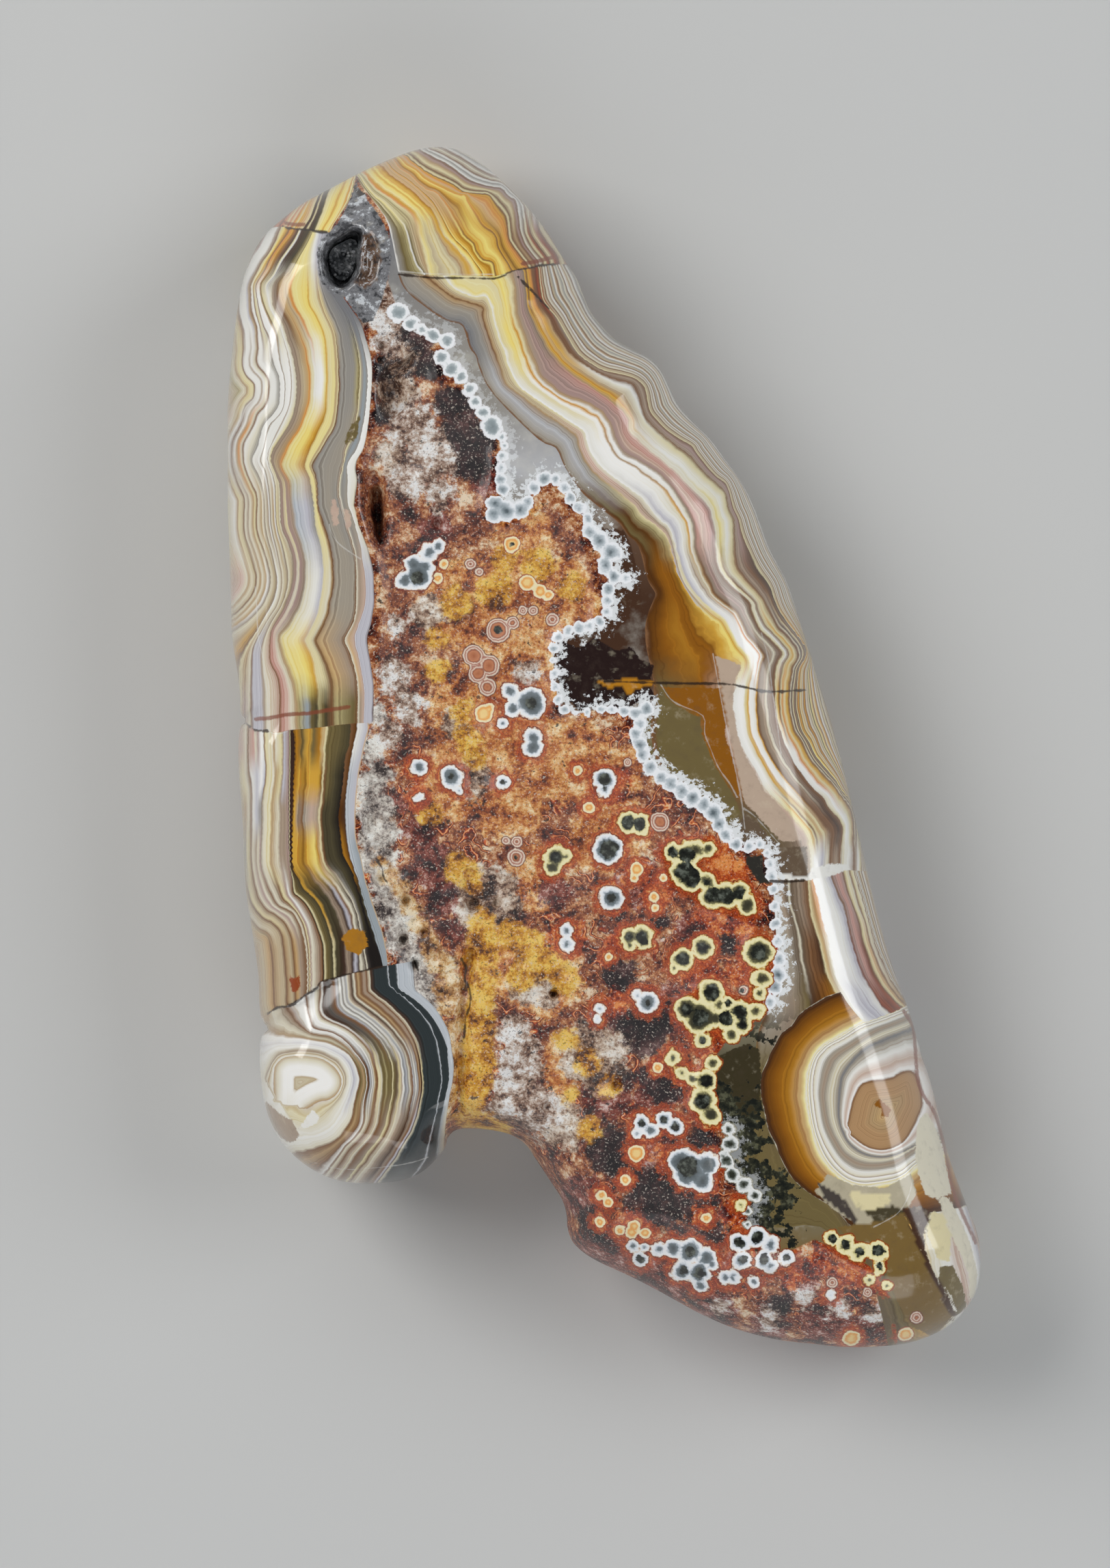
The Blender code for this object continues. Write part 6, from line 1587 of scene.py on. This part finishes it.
# %% [markdown]
# ## Clear chalcedony between the lace and the flank
# Next to the core the chalcedony is clear and shows the dark stone under it. A see-through
# body would be truer, but slow to render and hard to export. So its colour is a recipe over
# the height on the stone, with pale clouds in it.

# %% Clear chalcedony between the lace and the flank
CLOUD_WHITE = (0.72, 0.70, 0.62, 1.0)
SHORE_TINTS = """
-56:smoky_amber -46:smoky_amber -42:khaki -36:khaki -30:fern -26:khaki -22:taupe -14:ash -11:fawn
-9:ash -6:drab -2:olive 2:olive 3.5:shelf_brown 9:umber 13:umber 20:shelf_brown 22.5:grey 25:mist
31:grey 36:grey 46:veil
"""
shore_colour = agate.use(Recipe("shore_tints", SHORE_TINTS).tree, height_on_stone)
shore_colour = wash(shore_colour, CLOUD_WHITE, fade(noise(0.35, 4.0, 0.55), 0.50, 0.72), 0.35)
colour = mix(colour, shore_colour, fade(stored("shore"), -0.05, 0.15))
print("nodes with the clear stone", len(agate.nodes))

# %% [markdown]
# ## Banded flanks
# Each flank looks up its band number in its recipes and fades from one recipe to the next
# on the way down. A fine noise along the band number adds hairlines inside the bands. The
# zone number says where the flank ends, and there the next colour starts crisply.

# %% Banded flanks
FLANKS = [
    ("left_upper", LEFT_UPPER_RECIPES, 1.0), ("left_lower", LEFT_LOWER_RECIPES, 1.0),
    ("left_eye", LEFT_EYE_RECIPES, 1.0), ("top_left", TOP_LEFT_RECIPES, 1.0),
    ("right_upper", RIGHT_UPPER_RECIPES, 1.2), ("top_fan", TOP_FAN_RECIPES, 1.2),
    ("right_lower", RIGHT_LOWER_RECIPES, 1.2), ("right_eye", RIGHT_EYE_RECIPES, 0.6),
]
FADE_SHARE = 0.42
HAIR_STRENGTH = 0.45
HAIR_TONES = [(.30, (.72, .72, .70, 1.0)), (.46, (.5, .5, .5, 1.0)),
              (.56, (.5, .5, .5, 1.0)), (.70, (.20, .16, .12, 1.0))]
bands_at = {(name, level): Recipe(f"bands_{name}_{k}", words).tree
            for name, recipes, _ in FLANKS for k, (level, words) in enumerate(recipes)}
for name, recipes, liveliness in FLANKS:
    band = plus(stored("band_" + name), times(shake, liveliness))
    flank = agate.use(bands_at[name, recipes[0][0]], band)
    for (upper, _), (lower, _) in zip(recipes, recipes[1:]):
        border, reach = 0.5 * (lower + upper), FADE_SHARE * (upper - lower)
        here = agate.use(bands_at[name, lower], band)
        flank = mix(flank, here, fade(height_on_stone, border + reach, border - reach))
    hair_tone = agate.ramp(noise(10.0, 2.0, 0.6, along=band), HAIR_TONES)
    flank = mix(flank, hair_tone, HAIR_STRENGTH, "OVERLAY")
    colour = mix(colour, flank, fade(stored("zone_" + name), -0.04, 0.04))
print("nodes with the flanks", len(agate.nodes))

# %% [markdown]
# ## Clear patches
# Amber glass, smoky wedges and white flakes follow no band. Each patch already has its loop
# and shade, so the shade goes onto the mesh as a colour at every vertex, and one set of
# nodes paints them all, with wisps in them. Round the crystal pit the veil of clear stone
# has a marbled grey look. The border of a patch is broken up by a ripple of fine noise.

# %% Clear patches
WISP_BROWN, WISP_CREAM = (0.10, 0.07, 0.05, 1.0), (0.75, 0.66, 0.48, 1.0)
MARBLE_BLACK, MARBLE_WHITE = (0.025, 0.025, 0.028, 1.0), (0.74, 0.77, 0.80, 1.0)
swell = minus(noise(0.85, 3.0, 0.55), 0.5)
ripple = minus(noise(2.8, 3.0, 0.6), 0.5)
depth = plus(stored("patch_depth"), times(ripple, 0.5))
patch_shades = np.array([linear(SHADES[tint])[:3] for tint in PATCH_TINTS])[patch_tint]
stone_mesh.attributes.new("patch_shade", "FLOAT_VECTOR", "POINT").data.foreach_set(
    "vector", patch_shades.astype(np.float32).ravel())
patch_shade = agate.nodes.new("ShaderNodeAttribute")
patch_shade.attribute_name = "patch_shade"
wisps = noise(0.9, 6.0, 0.6)
patch_colour = wash(patch_shade.outputs["Vector"], WISP_BROWN, fade(wisps, 0.50, 0.75), 0.22)
patch_colour = wash(patch_colour, WISP_CREAM, fade(wisps, 0.45, 0.25), 0.25)
marble = noise(1.0, 9.0, 0.72)
by_pit = fade(toward_top, 36.0, 38.0)
patch_colour = wash(patch_colour, MARBLE_BLACK, fade(marble, 0.50, 0.40), times(by_pit, 0.85))
patch_colour = wash(patch_colour, MARBLE_WHITE, fade(marble, 0.54, 0.60), times(by_pit, 0.75))
colour = mix(colour, patch_colour, fade(depth, -0.05, 0.10))
print("nodes with the patches", len(agate.nodes))

# %% [markdown]
# ## Frill, lace and eyes
# White needles fray out from the lace into the clear stone, and dark moss spreads from it in
# the lower part. The orbs have a rusty glow round them. Then come the orbs themselves: every
# group has a ramp over the distance from its rim, with white or cream just inside it and
# iron red just outside. Noise is added to the distance, so that no orb is a perfect circle.

# %% Frill, moss and the glow round the eyes
FRILL_WHITE = (0.84, 0.86, 0.87, 1.0)
blur = plus(times(swell, 1.3), times(ripple, 0.5))
needles = minus(noise(1.7, 5.0, 0.72), 0.5)
frill = plus(stored("lace"), times(needles, 6.0))
in_shore = fade(stored("shore"), -0.1, 0.1)
below_top = fade(toward_top, 30.0, 22.0)
mossy = times(fade(toward_top, -23.0, -27.0), in_shore)
moss = plus(stored("lace"), times(minus(noise(0.8, 4.0, 0.6), 0.5), 14.0))
moss_tone = tinted(noise(1.6, 4.0, 0.6), ".38,.1,.11,.09 .52,.19,.19,.14 .62,.36,.36,.28")
off_eye = fade(stored("zone_right_eye"), 0.2, -0.2)
colour = wash(colour, moss_tone, fade(moss, 2.6, 2.3), times(off_eye, mossy))
colour = wash(colour, FRILL_WHITE, times(fade(frill, 0.55, 0.15), in_shore),
              plus(times(minus(below_top, mossy), 0.6), 0.35))
every_rim = agate.maths("MINIMUM", stored("white_eyes"),
                        agate.maths("MINIMUM", stored("cream_eyes"), stored("orange_eyes")))
glow = plus(every_rim, times(needles, 2.4))
glow_colour = tinted(glow, """
-.2,.93,.78,.52 .1,.82,.4,.16 .3,.7,.24,.11 .4,.34,.1,.07 .48,.82,.38,.16 .8,.6,.22,.12
1.2,.34,.12,.1
""", -0.2, 1.2)
off_shore = minus(low_half, times(in_shore, low_half))
colour = wash(colour, glow_colour, fade(glow, 0.80, 0.35), times(off_shore, 0.85))
print("nodes with the glow", len(agate.nodes))

# %% Lace and eyes
LACE_SHIFT = 0.16
RIMS = [
    ("lace", 0.75, 0.16, drawn("""
-1.1,.3,.34,.36 -.82,.44,.48,.5 -.62,.62,.66,.68 -.4,.78,.81,.83 -.22,.96,.97,.98 -.02,.99,.99,1
.07,.9,.9,.9 .16,.55,.45,.42
""", 4)),
    ("ring_eyes", 0.3, 0.12, drawn("""
-1,.66,.36,.2 -.55,.78,.5,.34 -.42,.6,.34,.24 -.3,.93,.84,.76 -.2,.66,.38,.3 -.08,.95,.88,.8
.02,.48,.25,.18 .12,.42,.2,.13
""", 4)),
    ("orange_eyes", 0.4, 0.14, drawn("""
-.5,.98,.84,.56 -.28,.95,.64,.28 -.16,.97,.9,.7 -.04,.98,.93,.78 .04,.66,.28,.13 .14,.58,.22,.11
""", 4)),
    ("white_eyes", 0.7, 0.2, drawn("""
-1.3,.3,.32,.32 -.85,.34,.37,.38 -.48,.46,.5,.52 -.36,.78,.81,.84 -.26,.94,.95,.96
-.08,.98,.98,.98 0,.92,.84,.76 .07,.46,.16,.1 .2,.62,.28,.14
""", 4)),
    ("cream_eyes", 0.7, 0.2, drawn("""
-1.2,.18,.18,.14 -.6,.28,.27,.2 -.44,.48,.46,.33 -.33,.88,.84,.6 -.24,.96,.92,.72
-.08,.97,.94,.76 0,.88,.72,.4 .07,.5,.18,.09 .2,.72,.34,.14
""", 4)),
]
CLEAR_LACE = drawn("""
-1.1,.52,.56,.57 -.5,.62,.66,.67 -.3,.74,.77,.78 -.2,.96,.97,.97 -.02,.99,.99,1 .07,.9,.9,.9
.16,.55,.45,.42
""", 4)
MOSS_LACE = drawn("""
-1.1,.14,.15,.12 -.5,.2,.21,.17 -.32,.44,.46,.43 -.18,.88,.89,.88 -.05,.96,.96,.95 .07,.6,.58,.5
.16,.28,.27,.22
""", 4)
for name, share, outer, rows in RIMS:
    gap = plus(stored(name), times(blur, share))
    rim = agate.ramp(gap, stipple(rows), rows[0, 0], rows[-1, 0])
    if name == "lace":
        gap = plus(gap, LACE_SHIFT)
        rim = mix(agate.ramp(gap, stipple(CLEAR_LACE), -1.1, 0.16), rim, below_top)
        rim = mix(rim, agate.ramp(gap, stipple(MOSS_LACE), -1.1, 0.16),
                  fade(toward_top, -23.0, -27.0))
    colour = mix(colour, rim, fade(gap, outer, outer - 0.10))
gap = plus(stored("dark_middles"), times(blur, 0.8))
middle = tinted(noise(1.4, 4.0, 0.6), ".36,.09,.09,.08 .5,.17,.18,.15 .64,.4,.42,.38")
colour = mix(colour, middle, fade(gap, 0.06, -0.08))
print("nodes with the eyes", len(agate.nodes))

# %% [markdown]
# ## Cracks and healed seams
# The seams are the thinnest marks, so they go on last: milky ones, rusty ones and dark ones.
# The dark ones are iron cracks, and along the ledge step and in the groove they are painted
# shadow. Each is a wash that fades out within a fraction of a millimetre from its line.

# %% Cracks and healed seams
SEAMS = [
    ("pale_lines", blur, 0.15, (0.80, 0.78, 0.74, 1.0), 0.09, 0.0, 0.4),
    ("rust_lines", ripple, 0.2, (0.25, 0.065, 0.032, 1.0), 0.26, 0.10, 0.8),
    # dark lines: iron cracks, and painted shadow along the ledge step and in the groove
    ("dark_cracks_and_shade", blur, 0.3, (0.03, 0.018, 0.012, 1.0), 0.17, 0.02, 0.9),
]
for name, tremble, share, paint, outer, inner_edge, strength in SEAMS:
    gap = plus(stored(name), times(tremble, share))
    colour = wash(colour, paint, fade(gap, outer, inner_edge), strength)
agate.links.new(colour, agate.shader.inputs["Base Color"])
print("seams", len(SEAMS))

# %% [markdown]
# ## Polish and relief
# The polisher brought the chalcedony to a mirror and couldn't do so with the softer jasper.
# The roughness follows the distance into the core, and a bump of fine grains shows only
# there. A thin coat gives the flanks the wet look of a polished stone.

# %% Polish and relief
SHEEN_OF = {"IOR": 1.54, "Coat Weight": 0.25, "Coat Roughness": 0.06}
BUMP_OF = {"Strength": 0.35, "Distance": 0.00022}
dull = minus(1.0, fade(stored("core_depth"), 0.6, -0.2))
matt = plus(0.10, times(dull, 0.26))
matt = plus(matt, times(noise(2.2, 5.0, 0.6), 0.10))
agate.links.new(matt, agate.shader.inputs["Roughness"])
bump = agate.nodes.new("ShaderNodeBump")
for node, settings in ((agate.shader, SHEEN_OF), (bump, BUMP_OF)):
    for socket, setting in settings.items():
        node.inputs[socket].default_value = setting
grains = times(noise(3.2, 7.0, 0.7), plus(dull, 0.04))
agate.links.new(grains, bump.inputs["Height"])
agate.links.new(bump.outputs["Normal"], agate.shader.inputs["Normal"])
stone_mesh.materials.append(agate.material)
print("stone nodes", len(agate.nodes))

# %% [markdown]
# ## The finish of the crystals
# Quartz is clear, so the points pass light and bend it as glass does. A grey tint that
# drifts with a fine noise gives them a little smoke, and the faces stay sharp and bright.

# %% Quartz
smoky = Paint("clear_quartz")
quartz_space = smoky.nodes.new("ShaderNodeTexCoord")
smoky.space = quartz_space.outputs["Object"]
tint = smoky.ramp(smoky.noise(900.0, 3.0, 0.6),
                  stipple(drawn(".4,.5,.51,.52 .5,.78,.79,.8 .6,.99,.99,.99", 4)))
smoky.links.new(tint, smoky.shader.inputs["Base Color"])
gloss = smoky.plus(0.03, smoky.times(smoky.noise(1500.0, 2.0), 0.08))
smoky.links.new(gloss, smoky.shader.inputs["Roughness"])
smoky.shader.inputs["IOR"].default_value = 1.544
smoky.shader.inputs["Transmission Weight"].default_value = 0.15
crust_mesh.materials.append(smoky.material)
print("quartz nodes", len(smoky.nodes))

# %% [markdown]
# ## Camera
# The photograph looks straight down on the stone from far enough away that the sides don't
# show. A long lens 1.2 m above the face gives the same flat view.

# %% Camera
VIEW_CENTRE = (-4.464, -3.379)
FRAME_HEIGHT = 142.29
CAMERA_DISTANCE = 1200.0
camera_data = bpy.data.cameras.new("overhead_camera")
camera_data.sensor_fit = "VERTICAL"
camera_data.sensor_height = 36.0
camera_data.lens = 36.0 * CAMERA_DISTANCE / FRAME_HEIGHT
camera_data.clip_end = 10.0
camera = bpy.data.objects.new("overhead_camera", camera_data)
camera.location = (VIEW_CENTRE[0] * MM, VIEW_CENTRE[1] * MM, (CAMERA_DISTANCE + 17.0) * MM)
bpy.context.scene.collection.objects.link(camera)
bpy.context.scene.camera = camera
print("lens in mm", round(camera_data.lens, 1))

# %% [markdown]
# ## Floor
# The floor is plain and pale, and only catches the shadow. It lies a hair under the stone, so
# that the two flat faces never fight for the same place.

# %% Floor
FLOOR_GAP = 0.00002
floor_data = bmesh.new()
bmesh.ops.create_grid(floor_data, x_segments=24, y_segments=24, size=1.5)
floor_mesh = bpy.data.meshes.new("floor")
floor_data.to_mesh(floor_mesh)
floor_data.free()
floor = bpy.data.objects.new("floor", floor_mesh)
floor.location.z = -FLOOR_GAP
bpy.context.scene.collection.objects.link(floor)
floor_paint = bpy.data.materials.new("pale_floor")
floor_paint.use_nodes = True
floor_shader = floor_paint.node_tree.nodes["Principled BSDF"]
floor_shader.inputs["Base Color"].default_value = (0.62, 0.62, 0.61, 1.0)
floor_shader.inputs["Roughness"].default_value = 0.75
floor_mesh.materials.append(floor_paint)
print("floor side in m", round(floor.dimensions.x, 2))

# %% [markdown]
# ## Lights
# Large soft lights stand low round the stone, because a light overhead would mirror in the
# flat polished face and wash its colours out. A dim sky that is paler below fills the rest.

# %% Lights
def soft_light(name, place, size, power, warmth):
    """A square soft light that faces the stone."""
    data = bpy.data.lights.new(name, "AREA")
    data.size = size
    data.energy = power
    data.color = warmth
    lamp = bpy.data.objects.new(name, data)
    lamp.location = place
    toward = Vector((0.0, 0.0, 0.01)) - Vector(place)
    lamp.rotation_euler = toward.to_track_quat("-Z", "Y").to_euler()
    bpy.context.scene.collection.objects.link(lamp)


soft_light("window_left", (-0.75, 0.45, 0.85), 0.7, 7.8, (1.0, 0.99, 0.97))
soft_light("window_right", (0.85, 0.25, 0.75), 0.6, 4.2, (0.97, 0.99, 1.0))
soft_light("fill_front", (0.05, -0.95, 0.70), 0.8, 3.2, (1.0, 1.0, 1.0))
world = bpy.data.worlds.new("studio")
bpy.context.scene.world = world
world.use_nodes = True
sky = world.node_tree
sky_place = sky.nodes.new("ShaderNodeTexCoord")
sky_height = sky.nodes.new("ShaderNodeSeparateXYZ")
sky.links.new(sky_place.outputs["Generated"], sky_height.inputs[0])
sky_tone = sky.nodes.new("ShaderNodeValToRGB")
for element, position, tone in zip(sky_tone.color_ramp.elements, (0.15, 0.85),
                                   ((0.80, 0.84, 0.90, 1.0), (0.10, 0.11, 0.12, 1.0))):
    element.position, element.color = position, tone
sky.links.new(sky_height.outputs["Z"], sky_tone.inputs["Fac"])
sky.links.new(sky_tone.outputs["Color"], sky.nodes["Background"].inputs["Color"])
sky.nodes["Background"].inputs["Strength"].default_value = 0.62
bpy.context.scene.view_settings.view_transform = "Standard"
print("lights", len(bpy.data.lights))

# %% [markdown]
# ## The end of the script

# %% The end of the script
print("end of the script")
